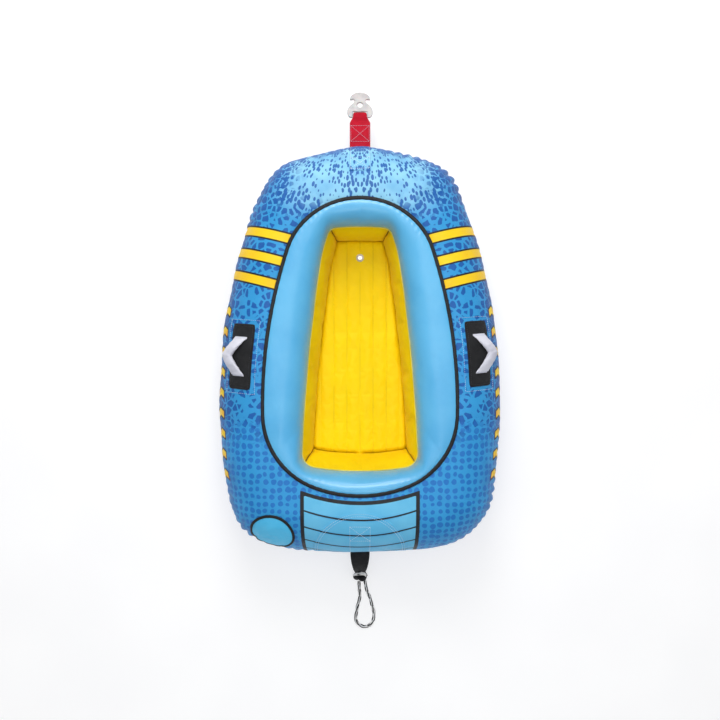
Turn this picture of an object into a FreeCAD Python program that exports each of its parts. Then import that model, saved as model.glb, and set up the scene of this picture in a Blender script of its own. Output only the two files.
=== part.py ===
import FreeCAD, Part

# One-rider towable tube: an inflated ring with a cockpit, in a sewn fabric cover.
#
# Frame: X to the rider's right, +Y towards the nose, +Z up, millimetres. The origin is on the ground
# plane, in the middle of the base panel. Fabric skins are thin closed shells cut from nested
# copies of one hull shape, so neighbouring layers follow each other.

import math
import os

from FreeCAD import Placement, Rotation, Vector

doc = FreeCAD.newDocument("towable_tube")

# ---------------------------------------------------------------- driving dimensions
DIMENSIONS = [
    # hull outline, seen from above: arcs from nose to stern, each ending at a turn in degrees
    ("hull_length", 1242.0), ("hull_height", 275.0),
    ("nose_radius", 582.0), ("nose_turn", 21.2),
    ("shoulder_radius", 164.0), ("shoulder_turn", 67.6), ("side_turn", 100.2),
    ("quarter_radius", 180.0), ("quarter_turn", 169.0),
    ("hull_top_round", 135.0), ("hull_bottom_round", 100.0),
    # cockpit rim and cockpit floor outlines
    ("rim_front", 372.0), ("rim_length", 737.0), ("rim_height", 200.0), ("collar_round", 70.0),
    ("rim_bow_radius", 726.0), ("rim_bow_turn", 5.7),
    ("rim_corner_radius", 30.0), ("rim_corner_turn", 69.4),
    ("rim_knee_radius", 434.0), ("rim_knee_turn", 81.5), ("rim_side_turn", 87.6),
    ("rim_seat_radius", 43.0), ("rim_seat_turn", 170.7),
    ("wall_lean", 26.0), ("seat_back_lean", 16.0), ("floor_height", 88.0),
    # oval binding between the outer cover and the cockpit collar
    ("oval_front", 446.0), ("oval_length", 885.0), ("oval_bow_radius", 231.0), ("oval_bow_turn", 48.0),
    ("oval_shoulder_radius", 198.0), ("oval_shoulder_turn", 71.8), ("oval_side_turn", 91.1),
    ("oval_seat_radius", 232.0), ("oval_seat_turn", 157.9),
    ("binding_width", 9.0), ("binding_rise", 2.0),
    # skins, and the seams between them
    ("cover_skin", 2.0), ("skin_gap", 0.3), ("bladder_skin", 2.0),
    ("webbing_layer", 1.2), ("pad_layer", 3.2), ("flap_binding_layer", 4.4),
    ("seam_height", 122.0), ("seam_tape_width", 10.0), ("rim_tape_width", 4.0),
    # floor mattress and its drain
    ("channel_pitch", 41.0), ("channel_rise", 7.0), ("channel_count", 8), ("mattress_top", 80.0),
    ("drain_forward", 290.0), ("drain_bore", 6.0), ("drain_tube_radius", 9.0),
    ("eyelet_radius", 12.0), ("eyelet_thickness", 2.5),
    # towing point
    ("webbing_width", 64.0), ("webbing_thickness", 5.0), ("webbing_tip_width", 42.0),
    ("tow_slope", 8.0), ("tow_reach", 110.0), ("hook_bar_radius", 4.0), ("hook_thickness", 9.0),
    ("hook_eye_radius", 8.0), ("hook_eye_forward", 30.0),
    ("loop_clearance", 0.4), ("hinge_stand_off", 4.5),
    ("harness_rear", 530.0), ("patch_radius", 145.0),
    # handles
    ("handle_turn", 85.13), ("handle_slope", 23.7), ("handle_stagger", 0.155),
    ("handle_half_span", 56.0), ("handle_reach", 46.0), ("handle_bend_radius", 26.0),
    ("grip_radius", 13.0), ("grip_lift", 17.0), ("pin_radius", 2.5),
    ("pad_half_length", 97.0), ("pad_inner", 30.0), ("pad_outer", 48.0),
    # tail strap, knot and rope loop
    ("tail_width", 58.0), ("tail_tip_width", 31.0), ("tail_thickness", 3.0),
    ("tail_bend_radius", 78.0), ("tail_bend_turn", 70.0), ("tail_drop", 38.0),
    ("knot_half_width", 21.0), ("knot_half_length", 26.0), ("knot_half_height", 17.5),
    ("rope_diameter", 10.0),
    # inflation valve, its cap and its flap
    ("valve_turn", 164.9), ("valve_slope", 41.0), ("valve_hole", 34.0), ("boot_bore", 17.4),
    ("valve_bore", 11.5), ("cap_radius", 22.0), ("flap_radius", 68.0), ("flap_binding_width", 5.0),
    ("fastener_inner", 45.0), ("fastener_outer", 58.0), ("fastener_layer", 0.6),
    # zipper in the left side of the lower cover
    ("zipper_height", 52.0), ("zipper_start", 74.0), ("zipper_sweep", 20.0), ("zipper_width", 30.0),
    ("teeth_width", 5.0), ("slider_width", 12.0), ("slider_sweep", 0.6), ("pull_length", 24.0),
]

sheet = doc.addObject("Spreadsheet::Sheet", "dims")
for row, (alias, value) in enumerate(DIMENSIONS, start=1):
    sheet.set(f"A{row}", alias)
    sheet.set(f"B{row}", str(value))
    sheet.setAlias(f"B{row}", alias)
doc.recompute()


def dim(alias):
    """The value of one cell of the sheet."""
    return float(sheet.get(alias))


def bind(feature, prop, formula):
    """Bind a property to the sheet; names in the formula that are aliases get their prefix here."""
    words = formula.replace("(", " ( ").replace(")", " ) ").split()
    aliases = {alias for alias, _ in DIMENSIONS}
    feature.setExpression(prop, " ".join(f"dims.{w}" if w in aliases else w for w in words))


# ---------------------------------------------------------------- outlines made of tangent arcs
class Outline:
    """A closed outline, symmetric about the Y axis, of tangent arcs from the bow round to the stern.

    Radii are cell names, or None for the two that follow from the closed length. Turns are the
    cells that hold the heading, in degrees, at the end of each arc but the last."""

    def __init__(self, front, length, radii, turns):
        self.front = front
        self.length = length
        self.cells = radii
        self.turns = [0.0] + [math.radians(dim(t)) for t in turns] + [math.pi]
        self.radii = self._close([None if r is None else dim(r) for r in radii])

    def _close(self, radii):
        """Fill in the two free radii so that the half outline ends on the axis, length behind the bow."""
        free = [i for i, r in enumerate(radii) if r is None]
        across = [math.sin(b) - math.sin(a) for a, b in zip(self.turns, self.turns[1:])]
        along = [math.cos(a) - math.cos(b) for a, b in zip(self.turns, self.turns[1:])]
        known = [i for i, r in enumerate(radii) if r is not None]
        need_across = -sum(radii[i] * across[i] for i in known)
        need_along = self.length - sum(radii[i] * along[i] for i in known)
        i, j = free
        det = across[i] * along[j] - across[j] * along[i]
        radii[i] = (need_across * along[j] - across[j] * need_along) / det
        radii[j] = (across[i] * need_along - need_across * along[i]) / det
        return radii

    def half(self, inset=0.0):
        """(centre, radius, first turn, last turn) of each arc of the right half."""
        arcs = []
        x, y = 0.0, self.front
        for radius, first, last in zip(self.radii, self.turns, self.turns[1:]):
            centre = Vector(x - radius * math.sin(first), y - radius * math.cos(first), 0)
            arcs.append((centre, radius - inset, first, last))
            x = centre.x + radius * math.sin(last)
            y = centre.y + radius * math.cos(last)
        return arcs

    def loop(self, inset=0.0):
        """All arcs in order, anticlockwise from the bow, with the cell that holds each radius."""
        half = self.half(inset)
        up = math.pi / 2
        bow, stern = half[0], half[-1]
        arcs = [(bow[0], bow[1], up - bow[3], up + bow[3], self.cells[0])]
        for (c, r, a, b), cell in list(zip(half, self.cells))[1:-1]:
            arcs.append((Vector(-c.x, c.y, 0), r, up + a, up + b, cell))
        arcs.append((stern[0], stern[1], up + stern[2], 2 * math.pi + up - stern[2], None))
        for (c, r, a, b), cell in list(zip(half, self.cells))[-2:0:-1]:
            arcs.append((c, r, up - b, up - a, cell))
        return arcs


hull_outline = Outline(
    dim("hull_length") / 2, dim("hull_length"),
    ["nose_radius", "shoulder_radius", None, "quarter_radius", None],
    ["nose_turn", "shoulder_turn", "side_turn", "quarter_turn"])
RIM_RADII = ["rim_bow_radius", "rim_corner_radius", "rim_knee_radius", None, "rim_seat_radius", None]
RIM_TURNS = ["rim_bow_turn", "rim_corner_turn", "rim_knee_turn", "rim_side_turn", "rim_seat_turn"]
rim_outline = Outline(dim("rim_front"), dim("rim_length"), RIM_RADII, RIM_TURNS)
floor_outline = Outline(dim("rim_front"), dim("rim_length") - dim("seat_back_lean"), RIM_RADII, RIM_TURNS)
oval_outline = Outline(
    dim("oval_front"), dim("oval_length"),
    ["oval_bow_radius", "oval_shoulder_radius", None, "oval_seat_radius", None],
    ["oval_bow_turn", "oval_shoulder_turn", "oval_side_turn", "oval_seat_turn"])


# ---------------------------------------------------------------- modelling helpers
def plane(body, role):
    """One of the body's own origin planes."""
    return next(f for f in body.Origin.OriginFeatures if f.Role == role)


def sketch_in(body, name, role="XY_Plane", lift=0.0):
    """An empty sketch on one of the body's origin planes, moved along the plane's normal."""
    sketch = body.newObject("Sketcher::SketchObject", name)
    sketch.AttachmentSupport = (plane(body, role), [""])
    sketch.MapMode = "FlatFace"
    sketch.AttachmentOffset = Placement(Vector(0, 0, lift), Rotation())
    return sketch


def outline_sketch(body, name, outline, inset=0.0, lift=0.0):
    """A sketch of an outline whose arcs meet tangentially, with its known radii bound to the sheet."""
    from Sketcher import Constraint
    sketch = sketch_in(body, name, lift=lift)
    arcs = outline.loop(inset)
    for centre, radius, first, last, _ in arcs:
        circle = Part.Circle(centre, Vector(0, 0, 1), radius)
        sketch.addGeometry(Part.ArcOfCircle(circle, first, last), False)
    for i in range(len(arcs)):
        sketch.addConstraint(Constraint("Tangent", i, 2, (i + 1) % len(arcs), 1))
    for i, arc in enumerate(arcs):
        if arc[4]:
            index = sketch.addConstraint(Constraint("Radius", i, arc[1]))
            bind(sketch, f"Constraints[{index}]", f"{arc[4]} - {inset}")
    return sketch


def closed_sketch(body, name, pieces, role="XY_Plane", lift=0.0):
    """A sketch of straight runs (2 points) and arcs through 3 points, each a tuple of (x, y)."""
    sketch = sketch_in(body, name, role, lift)
    for piece in pieces:
        points = [Vector(x, y, 0) for x, y in piece]
        curve = Part.LineSegment(*points) if len(points) == 2 else Part.Arc(*points)
        sketch.addGeometry(curve, False)
    return sketch


def polygon(points):
    """The straight runs round a list of corners."""
    return list(zip(points, points[1:] + points[:1]))


def pad(body, name, sketch, length, midplane=False, reverse=False):
    """A pad whose length is a formula in the sheet's aliases."""
    feature = body.newObject("PartDesign::Pad", name)
    feature.Profile = sketch
    feature.SideType = "Symmetric" if midplane else "One side"
    feature.Reversed = reverse
    bind(feature, "Length", length)
    return feature


def new_body(name):
    return doc.addObject("PartDesign::Body", name)


def boolean(kind, name, base, tool):
    """Part::Cut or Part::Common of two objects."""
    feature = doc.addObject(f"Part::{kind}", name)
    feature.Base = base
    feature.Tool = tool
    return feature


def fuse(name, *shapes):
    feature = doc.addObject("Part::MultiFuse", name)
    feature.Shapes = list(shapes)
    return feature


def box(name, low, high):
    """A box between two corners."""
    feature = doc.addObject("Part::Box", name)
    feature.Length, feature.Width, feature.Height = (b - a for a, b in zip(low, high))
    feature.Placement = Placement(Vector(*low), Rotation())
    return feature


def cylinder(name, radius, height, base=Vector(0, 0, 0), direction=Vector(0, 0, 1)):
    """A cylinder from base along direction; radius is a number or a formula."""
    feature = doc.addObject("Part::Cylinder", name)
    if isinstance(radius, str):
        bind(feature, "Radius", radius)
    else:
        feature.Radius = radius
    feature.Height = height
    feature.Placement = Placement(base, Rotation(Vector(0, 0, 1), direction))
    return feature


def edges_along(shape, outline, inset, level):
    """Indices of the edges that follow an outline at one height."""
    arcs = outline.loop(inset)
    found = []
    for index, edge in enumerate(shape.Edges, start=1):
        flat = abs(edge.BoundBox.ZMin - level) < 1e-3 and abs(edge.BoundBox.ZMax - level) < 1e-3
        if flat and hasattr(edge.Curve, "Radius"):
            middle = edge.Curve.Center
            if any(abs(edge.Curve.Radius - r) < 1e-2 and math.hypot(middle.x - c.x, middle.y - c.y) < 1e-2
                   for c, r, _, _, _ in arcs):
                found.append(index)
    return found


def prism(name, outline, inset, low, high):
    """A vertical prism on an outline."""
    body = new_body(name)
    sketch = outline_sketch(body, name + "_outline", outline, inset, low)
    pad(body, name + "_pad", sketch, str(high - low))
    return body


sub_parts = []


def sub_part(feature, label):
    """Name a finished sub-part, which is written to its own file."""
    feature.Label = label
    sub_parts.append(feature)
    return feature


# ---------------------------------------------------------------- nested hull shapes
def round_edges(body, name, loops, formula):
    """A fillet along closed outlines of the body's solid; each loop is (outline, inset, level)."""
    doc.recompute()
    base = body.Tip
    edges = [index for loop in loops for index in edges_along(base.Shape, *loop)]
    feature = body.newObject("PartDesign::Fillet", name)
    feature.Base = (base, [f"Edge{i}" for i in edges])
    bind(feature, "Radius", formula)
    doc.recompute()


def bun(name, inset, opened=True):
    """The hull with every face moved inwards by inset, and the collar's round down to the cockpit rim."""
    body = new_body(name)
    sketch = outline_sketch(body, name + "_outline", hull_outline, inset, inset)
    pad(body, name + "_pad", sketch, f"hull_height - {2 * inset}")
    top = dim("hull_height") - inset
    round_edges(body, name + "_top_round", [(hull_outline, inset, top)], f"hull_top_round - {inset}")
    round_edges(body, name + "_bottom_round", [(hull_outline, inset, inset)], f"hull_bottom_round - {inset}")
    if opened:
        rim = outline_sketch(body, name + "_rim", rim_outline, -inset, top)
        pocket = body.newObject("PartDesign::Pocket", name + "_rim_pocket")
        pocket.Profile = rim
        bind(pocket, "Length", f"collar_round + 5 - {inset}")
        round_edges(body, name + "_collar_round", [(rim_outline, -inset, top)], f"collar_round - {inset}")
    return body


def cockpit_void(name, inset, bottom=-10.0):
    """The space in the cockpit: straight below the floor, with leaning walls up to the rim."""
    body = new_body(name)
    floor, rim = dim("floor_height"), dim("rim_height")
    low = outline_sketch(body, name + "_foot", floor_outline, dim("wall_lean") + inset, bottom)
    pad(body, name + "_foot_pad", low, f"floor_height - {bottom}")
    mid = outline_sketch(body, name + "_floor", floor_outline, dim("wall_lean") + inset, floor)
    high = outline_sketch(body, name + "_rim", rim_outline, inset, rim)
    loft = body.newObject("PartDesign::AdditiveLoft", name + "_walls")
    loft.Profile = mid
    loft.Sections = [high]
    loft.Ruled = True
    top = outline_sketch(body, name + "_top", rim_outline, inset, rim)
    pad(body, name + "_top_pad", top, "5")
    return body


def ring(name, inset):
    """The hull with its cockpit, every face moved inwards by inset."""
    return boolean("Cut", name, bun(name + "_bun", inset), cockpit_void(name + "_void", -inset))


# ---------------------------------------------------------------- layers
HEIGHT = dim("hull_height")
SKIN = dim("cover_skin")
SEAM_LOW = dim("seam_height") - dim("seam_tape_width") / 2
SEAM_HIGH = dim("seam_height") + dim("seam_tape_width") / 2
RIM_TAPE_LOW = dim("rim_height") + 1
RIM_TAPE_HIGH = RIM_TAPE_LOW + dim("rim_tape_width")
WEBBING = dim("webbing_layer")
PAD = dim("pad_layer")
LEAN = dim("wall_lean")
FLOOR = dim("floor_height")
GAP = dim("skin_gap")
LEFT, RIGHT = -1, 1

cover_outside = ring("cover_outside", 0.0)
cover_inside = ring("cover_inside", SKIN)
bladder_outside = ring("bladder_outside", SKIN + GAP)
bladder_inside = ring("bladder_inside", SKIN + GAP + dim("bladder_skin"))
fastener_face = bun("fastener_face", -dim("fastener_layer"), opened=False)
webbing_face = bun("webbing_face", -WEBBING, opened=False)
pad_face = bun("pad_face", -PAD, opened=False)
binding_face = bun("binding_face", -dim("flap_binding_layer"), opened=False)
webbing_layer = boolean("Cut", "webbing_layer", webbing_face, cover_outside)
pad_layer = boolean("Cut", "pad_layer", pad_face, cover_outside)
proud_layer = boolean("Cut", "proud_layer", pad_face, webbing_face)
cover_shell = boolean("Cut", "cover_shell", cover_outside, cover_inside)
doc.recompute()


# ---------------------------------------------------------------- places on the hull
def on_hull(side, turn, slope, lift=0.0):
    """A place on the rounded top: X runs down the slope, Z out of the surface, lift above the cover."""
    turn, slope = math.radians(turn), math.radians(slope)
    centre, radius, _, _ = next(arc for arc in hull_outline.half() if arc[2] <= turn <= arc[3])
    round_radius = dim("hull_top_round")
    out = Vector(side * math.sin(turn), math.cos(turn), 0)
    up = Vector(0, 0, 1)
    reach = radius - round_radius + (round_radius + lift) * math.sin(slope)
    height = HEIGHT - round_radius + (round_radius + lift) * math.cos(slope)
    normal = out * math.sin(slope) + up * math.cos(slope)
    downhill = out * math.cos(slope) - up * math.sin(slope)
    origin = Vector(side * centre.x, centre.y, 0) + out * reach + up * height
    return Placement(origin, Rotation(downhill, normal.cross(downhill), normal, "ZXY"))


def drop_beside(distance, layer):
    """How far a layer of the rounded top lies below its own highest point, to one side."""
    radius = dim("hull_top_round") + layer
    return dim("hull_top_round") - math.sqrt(radius ** 2 - distance ** 2)


# ---------------------------------------------------------------- inflatable hull and its valve
valve_place = on_hull(LEFT, dim("valve_turn"), dim("valve_slope"))
valve_normal = valve_place.Rotation.multVec(Vector(0, 0, 1))
valve_well = cylinder("valve_well", "valve_hole", 90, valve_place.Base - valve_normal * 60, valve_normal)

bladder_wall = boolean("Cut", "bladder_wall", bladder_outside, bladder_inside)
sub_part(boolean("Cut", "main_bladder_cut", bladder_wall, valve_well), "main_bladder")


def turned(name, corners, placement, bound=()):
    """A body of revolution about its own Z, from (radius, height) corners; bound names driven corners."""
    from Sketcher import Constraint
    body = new_body(name)
    sketch = closed_sketch(body, name + "_profile", polygon(corners), "XZ_Plane")
    for i in range(len(corners)):
        sketch.addConstraint(Constraint("Coincident", i, 2, (i + 1) % len(corners), 1))
    for corner, formula in bound:
        index = sketch.addConstraint(Constraint("DistanceX", corner, 1, corners[corner][0]))
        bind(sketch, f"Constraints[{index}]", formula)
    revolution = body.newObject("PartDesign::Revolution", name + "_revolution")
    revolution.Profile = sketch
    revolution.ReferenceAxis = (sketch, ["V_Axis"])
    revolution.Angle = 360
    body.Placement = placement
    return body


BOOT = dim("boot_bore")
BORE = dim("valve_bore")
CAP = dim("cap_radius")
sub_part(turned("valve_boot", [
    (BOOT, -34), (BOOT + 2.6, -34), (BOOT + 2.6, -9.5), (dim("valve_hole") - 0.3, -9.5),
    (dim("valve_hole") - 0.3, -7), (BOOT, -7),
], valve_place, [(0, "boot_bore")]), "valve_base")
sub_part(turned("valve_insert", [
    (BORE, -32), (BOOT - 0.2, -32), (BOOT - 0.2, -7), (BOOT + 7.6, -7), (BOOT + 7.6, -4.9), (BORE, -4.9),
], valve_place, [(0, "valve_bore")]), "valve_body")

cap = turned("cap_blank", [
    (0, -16), (BORE - 0.6, -16), (BORE - 0.6, -4.5), (CAP, -4.5), (CAP, -1.8), (0, -1.8),
], valve_place, [(3, "cap_radius")])
for side in (LEFT, RIGHT):
    recess = closed_sketch(cap, f"recess_{side + 1}", polygon(
        [(-13, side * 3), (13, side * 3), (9, side * 14), (-9, side * 14)][::side]), lift=-1.8)
    pocket = cap.newObject("PartDesign::Pocket", f"recess_pocket_{side + 1}")
    pocket.Profile = recess
    pocket.Length = 1.4
sub_part(cap, "valve_cap")

FLAP = dim("flap_radius")


def hull_cylinder(name, radius):
    """A cylinder along the valve's axis, long enough to pass through the layers over the valve."""
    return cylinder(name, radius, 60, valve_place.Base - valve_normal * 40, valve_normal)


flap_disc = hull_cylinder("flap_disc", f"flap_radius - flap_binding_width")
flap_edge = boolean("Cut", "flap_edge", hull_cylinder("flap_rim", "flap_radius"), flap_disc)
binding_layer = boolean("Cut", "binding_layer", binding_face, webbing_face)
sub_part(boolean("Common", "flap_panel", proud_layer, flap_disc), "valve_flap")
sub_part(boolean("Common", "flap_hem", binding_layer, flap_edge), "flap_binding")
fastener_zone = boolean(
    "Cut", "fastener_zone",
    hull_cylinder("fastener_disc", "fastener_outer"), hull_cylinder("fastener_centre", "fastener_inner"))
fastener_layer = boolean("Cut", "fastener_layer", fastener_face, cover_outside)
sub_part(boolean("Common", "fastener_ring", fastener_layer, fastener_zone), "flap_fastener_ring")

# ---------------------------------------------------------------- fabric cover
oval_outer = prism("oval_outer", oval_outline, -dim("binding_width") / 2, SEAM_LOW - 70, HEIGHT + 20)
oval_inner = prism("oval_inner", oval_outline, dim("binding_width") / 2, 40, HEIGHT + 20)
above_seam = box("above_seam", (-500, -700, SEAM_HIGH), (500, 700, HEIGHT + 20))
seam_slab = box("seam_slab", (-500, -700, SEAM_LOW), (500, 700, SEAM_HIGH))
below_seam = box("below_seam", (-500, -700, -5), (500, 700, SEAM_LOW))

deck = boolean("Common", "deck", cover_shell, above_seam)
deck_outside_oval = boolean("Cut", "deck_outside_oval", deck, oval_outer)
sub_part(boolean("Cut", "top_cover_cut", deck_outside_oval, valve_well), "top_cover")

foot_zone = prism("foot_zone", rim_outline, -SKIN - 5, -5, 150)
base_zone = prism("base_zone", hull_outline, dim("hull_bottom_round"), -5, SKIN)
under_side = boolean("Common", "under_side", cover_shell, below_seam)
under_outside = boolean("Cut", "under_outside", under_side, foot_zone)
sub_part(boolean("Cut", "lower_cover_cut", under_outside, base_zone), "lower_cover")

base_blank = prism("base_blank", hull_outline, dim("hull_bottom_round"), 0, SKIN)
drain_place = Vector(0, dim("drain_forward"), 0)
eyelet_well = cylinder("eyelet_well", dim("eyelet_radius") + 0.2, 200, drain_place - Vector(0, 0, 50))
sub_part(boolean("Cut", "base_panel_cut", base_blank, eyelet_well), "base_panel")

seam_ring = boolean("Cut", "seam_ring", webbing_face, cover_inside)
seam_band = boolean("Common", "seam_band", seam_ring, seam_slab)
sub_part(boolean("Cut", "seam_tape_cut", seam_band, oval_outer), "perimeter_seam_tape")


def band(name, outline, outer, inner, low, high):
    """A closed vertical band between two insets of an outline."""
    body = new_body(name)
    pad(body, name + "_pad", outline_sketch(body, name + "_outer", outline, outer, low), str(high - low))
    hole = outline_sketch(body, name + "_inner", outline, inner, high)
    pocket = body.newObject("PartDesign::Pocket", name + "_pocket")
    pocket.Profile = hole
    pocket.Length = high - low
    doc.recompute()
    return body


BINDING_TOP = HEIGHT + dim("binding_rise")
HALF_BINDING = dim("binding_width") / 2
oval_binding = band("oval_binding", oval_outline, -HALF_BINDING, HALF_BINDING, HEIGHT - SKIN, BINDING_TOP)
round_edges(oval_binding, "binding_round", [
    (oval_outline, -HALF_BINDING, BINDING_TOP), (oval_outline, HALF_BINDING, BINDING_TOP),
], "binding_rise - 0.4")
sub_part(oval_binding, "collar_piping")

collar_zone = boolean("Common", "collar_zone", cover_shell, oval_inner)
above_rim = box("above_rim", (-400, -600, RIM_TAPE_HIGH), (400, 600, HEIGHT + 20))
sub_part(boolean("Common", "collar_common", collar_zone, above_rim), "cockpit_collar")
sub_part(band(
    "rim_band", rim_outline, -SKIN, WEBBING, RIM_TAPE_LOW, RIM_TAPE_HIGH), "rim_seam")

wall_slab = box("wall_slab", (-400, -600, FLOOR - 20), (400, 600, RIM_TAPE_LOW))
wall_band = boolean("Common", "wall_band", collar_zone, wall_slab)


def corner_wedge(name, arc_index):
    """A vertical wedge that reaches out through the two rounded corners of one cockpit end wall."""
    centre, _, first, last = rim_outline.half()[arc_index]
    turn = (first + last) / 2
    tip = centre + Vector(math.sin(turn), math.cos(turn), 0) * 140
    corners = [(-centre.x, centre.y), (-tip.x, tip.y), (tip.x, tip.y), (centre.x, centre.y)]
    body = new_body(name)
    pad(body, name + "_pad", closed_sketch(body, name + "_plan", polygon(corners)), "hull_height")
    return body


front_zone = corner_wedge("front_zone", 1)
rear_zone = corner_wedge("rear_zone", 4)
side_walls = boolean("Cut", "side_walls", wall_band, fuse("end_zones", front_zone, rear_zone))
sub_part(boolean("Common", "front_wall", wall_band, front_zone), "front_wall_panel")
sub_part(boolean("Common", "rear_wall", wall_band, rear_zone), "rear_wall_panel")
for side, label in ((LEFT, "left"), (RIGHT, "right")):
    half_space = box(f"{label}_half", (min(0, side * 400), -600, 0), (max(0, side * 400), 600, HEIGHT))
    sub_part(boolean("Common", f"{label}_wall", side_walls, half_space), f"{label}_wall_panel")


# ---------------------------------------------------------------- floor mattress and drain
def channels(name, bottom, top):
    """A slab whose upper face is a row of lengthwise crowned channels."""
    pitch, rise, count = dim("channel_pitch"), dim("channel_rise"), int(dim("channel_count"))
    left = -pitch * count / 2
    valleys = [left + pitch * i for i in range(count + 1)]
    crests = [((a, top), ((a + b) / 2, top + rise), (b, top)) for a, b in zip(valleys, valleys[1:])]
    sides = [((-left, top), (-left, bottom)), ((-left, bottom), (left, bottom)),
             ((left, bottom), (left, top))]
    body = new_body(name)
    pad(body, name + "_pad", closed_sketch(body, name + "_section", crests + sides, "XZ_Plane"),
        "rim_length + 100", midplane=True)
    return body


MATTRESS = dim("mattress_top")
FLOOR_EDGE = LEAN + GAP
floor_zone = prism("floor_zone", floor_outline, FLOOR_EDGE, 0, FLOOR + 20)
inner_zone = prism("inner_zone", floor_outline, FLOOR_EDGE + dim("bladder_skin"), 0, FLOOR + 20)
mattress = boolean("Common", "mattress", channels("mattress_slab", SKIN + GAP, MATTRESS), floor_zone)
mattress_air = boolean(
    "Common", "mattress_air",
    channels("air_slab", SKIN + GAP + dim("bladder_skin"), MATTRESS - dim("bladder_skin")), inner_zone)
mattress_wall = boolean("Cut", "mattress_wall", mattress, mattress_air)
drain_core = cylinder("drain_core", dim("drain_tube_radius") + 0.1, 200, drain_place - Vector(0, 0, 50))
sub_part(boolean("Cut", "floor_bladder_cut", mattress_wall, drain_core), "floor_bladder")

panel_slab = boolean(
    "Cut", "panel_slab",
    channels("panel_top", 20, MATTRESS + GAP + SKIN), channels("panel_bottom", 0, MATTRESS + GAP))
panel = boolean("Common", "panel", panel_slab, floor_zone)
sub_part(boolean("Cut", "floor_panel_cut", panel, eyelet_well), "floor_panel")

EYELET_TOP = MATTRESS + dim("channel_rise") + SKIN
drain_bore = cylinder("drain_bore", "drain_bore", 200, drain_place - Vector(0, 0, 50))


def drain_ring(name, radius, low, high):
    """A ring round the drain hole."""
    blank = cylinder(name + "_blank", radius, high - low, drain_place + Vector(0, 0, low))
    return boolean("Cut", name, blank, drain_bore)


EYELET_LOW = EYELET_TOP - dim("eyelet_thickness")
sub_part(drain_ring("eyelet_ring", "eyelet_radius", EYELET_LOW, EYELET_TOP), "drain_eyelet")
sub_part(drain_ring("eyelet_lower", "eyelet_radius", 0.2, SKIN), "drain_eyelet_lower")
sub_part(drain_ring("drain_pipe", "drain_tube_radius", SKIN, EYELET_LOW), "drain_tube")

# ---------------------------------------------------------------- sewn-on layers of the cover
HALF_WEB = dim("webbing_width") / 2
upper_strip = box("upper_strip", (-HALF_WEB, dim("harness_rear"), SEAM_HIGH), (HALF_WEB, 660, HEIGHT + 20))
lower_strip = box("lower_strip", (-HALF_WEB, dim("harness_rear"), 12), (HALF_WEB, 660, SEAM_LOW))
sub_part(boolean("Common", "upper_harness", webbing_layer, upper_strip), "harness_upper")
sub_part(boolean("Common", "lower_harness", webbing_layer, lower_strip), "harness_lower")
patch_zone = cylinder("patch_zone", "patch_radius", 200, Vector(0, -dim("hull_length") / 2, SEAM_HIGH))
sub_part(boolean("Common", "stern_patch", webbing_layer, patch_zone), "tail_patch")

# ---------------------------------------------------------------- handles
SPAN = dim("handle_half_span")
GRIP = dim("grip_radius")
LIFT = dim("grip_lift")


def handle_place(side, lift):
    """The middle of a handle's hinge line, with X pointing down the outer slope."""
    turn = dim("handle_turn") - side * dim("handle_stagger")
    return on_hull(side, turn, dim("handle_slope"), lift)


def grip_bar(name, side):
    """The tubular grip: two straight legs and a bend, with round ends drilled along the hinge line."""
    bend = dim("handle_bend_radius")
    centre = Vector(dim("handle_reach") - bend, 0, 0)
    slant = math.atan2(SPAN, centre.x)
    spread = math.acos(bend / math.hypot(SPAN, centre.x))
    tangent = math.pi - slant - spread
    torus = doc.addObject("Part::Torus", name + "_bend")
    bind(torus, "Radius1", "handle_bend_radius")
    bind(torus, "Radius2", "grip_radius")
    torus.Angle3 = math.degrees(2 * tangent)
    torus.Placement = Placement(centre, Rotation(Vector(0, 0, 1), -math.degrees(tangent)))
    pieces = [torus]
    for end in (-1, 1):
        foot = Vector(0, end * SPAN, 0)
        knee = centre + Vector(math.cos(tangent), end * math.sin(tangent), 0) * bend
        leg = cylinder(f"{name}_leg_{end + 1}", "grip_radius", (knee - foot).Length, foot, knee - foot)
        ball = doc.addObject("Part::Sphere", f"{name}_ball_{end + 1}")
        bind(ball, "Radius", "grip_radius")
        ball.Placement = Placement(foot, Rotation())
        pieces += [leg, ball]
    solid = fuse(name + "_solid", *pieces)
    drills = [cylinder(f"{name}_drill_{end + 1}", dim("pin_radius") + 0.4, 12,
                       Vector(0, end * (SPAN + GRIP - 9), 0), Vector(0, end, 0)) for end in (-1, 1)]
    drilled = boolean("Cut", name, solid, fuse(name + "_drills", *drills))
    drilled.Placement = handle_place(side, LIFT)
    return drilled


def grip_anchors(name, side):
    """The two sewn anchors of a handle, each with a pin that the grip turns on."""
    pieces = []
    for end in (-1, 1):
        inner, outer = sorted((end * (SPAN + GRIP + 0.6), end * (SPAN + GRIP + 7)))
        post = box(f"{name}_post_{end + 1}", (-7, inner, -20), (7, outer, 6))
        pin = cylinder(f"{name}_pin_{end + 1}", "pin_radius", 12, Vector(0, end * (SPAN + GRIP - 7), 0),
                       Vector(0, end, 0))
        pieces += [post, pin]
    posts = fuse(name + "_posts", *pieces)
    posts.Placement = handle_place(side, LIFT)
    return boolean("Cut", name, posts, pad_face)


for side, label in ((LEFT, "left"), (RIGHT, "right")):
    pad_zone = box(f"{label}_pad_zone", (-dim("pad_inner"), -dim("pad_half_length"), -90),
                   (dim("pad_outer"), dim("pad_half_length"), 30))
    pad_zone.Placement = handle_place(side, 0).multiply(pad_zone.Placement)
    sub_part(boolean("Common", f"{label}_pad", pad_layer, pad_zone), f"{label}_handle_pad")
    sub_part(grip_anchors(f"{label}_anchors", side), f"{label}_handle_tabs")
    sub_part(grip_bar(f"{label}_grip", side), f"{label}_handle_grip")

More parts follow.
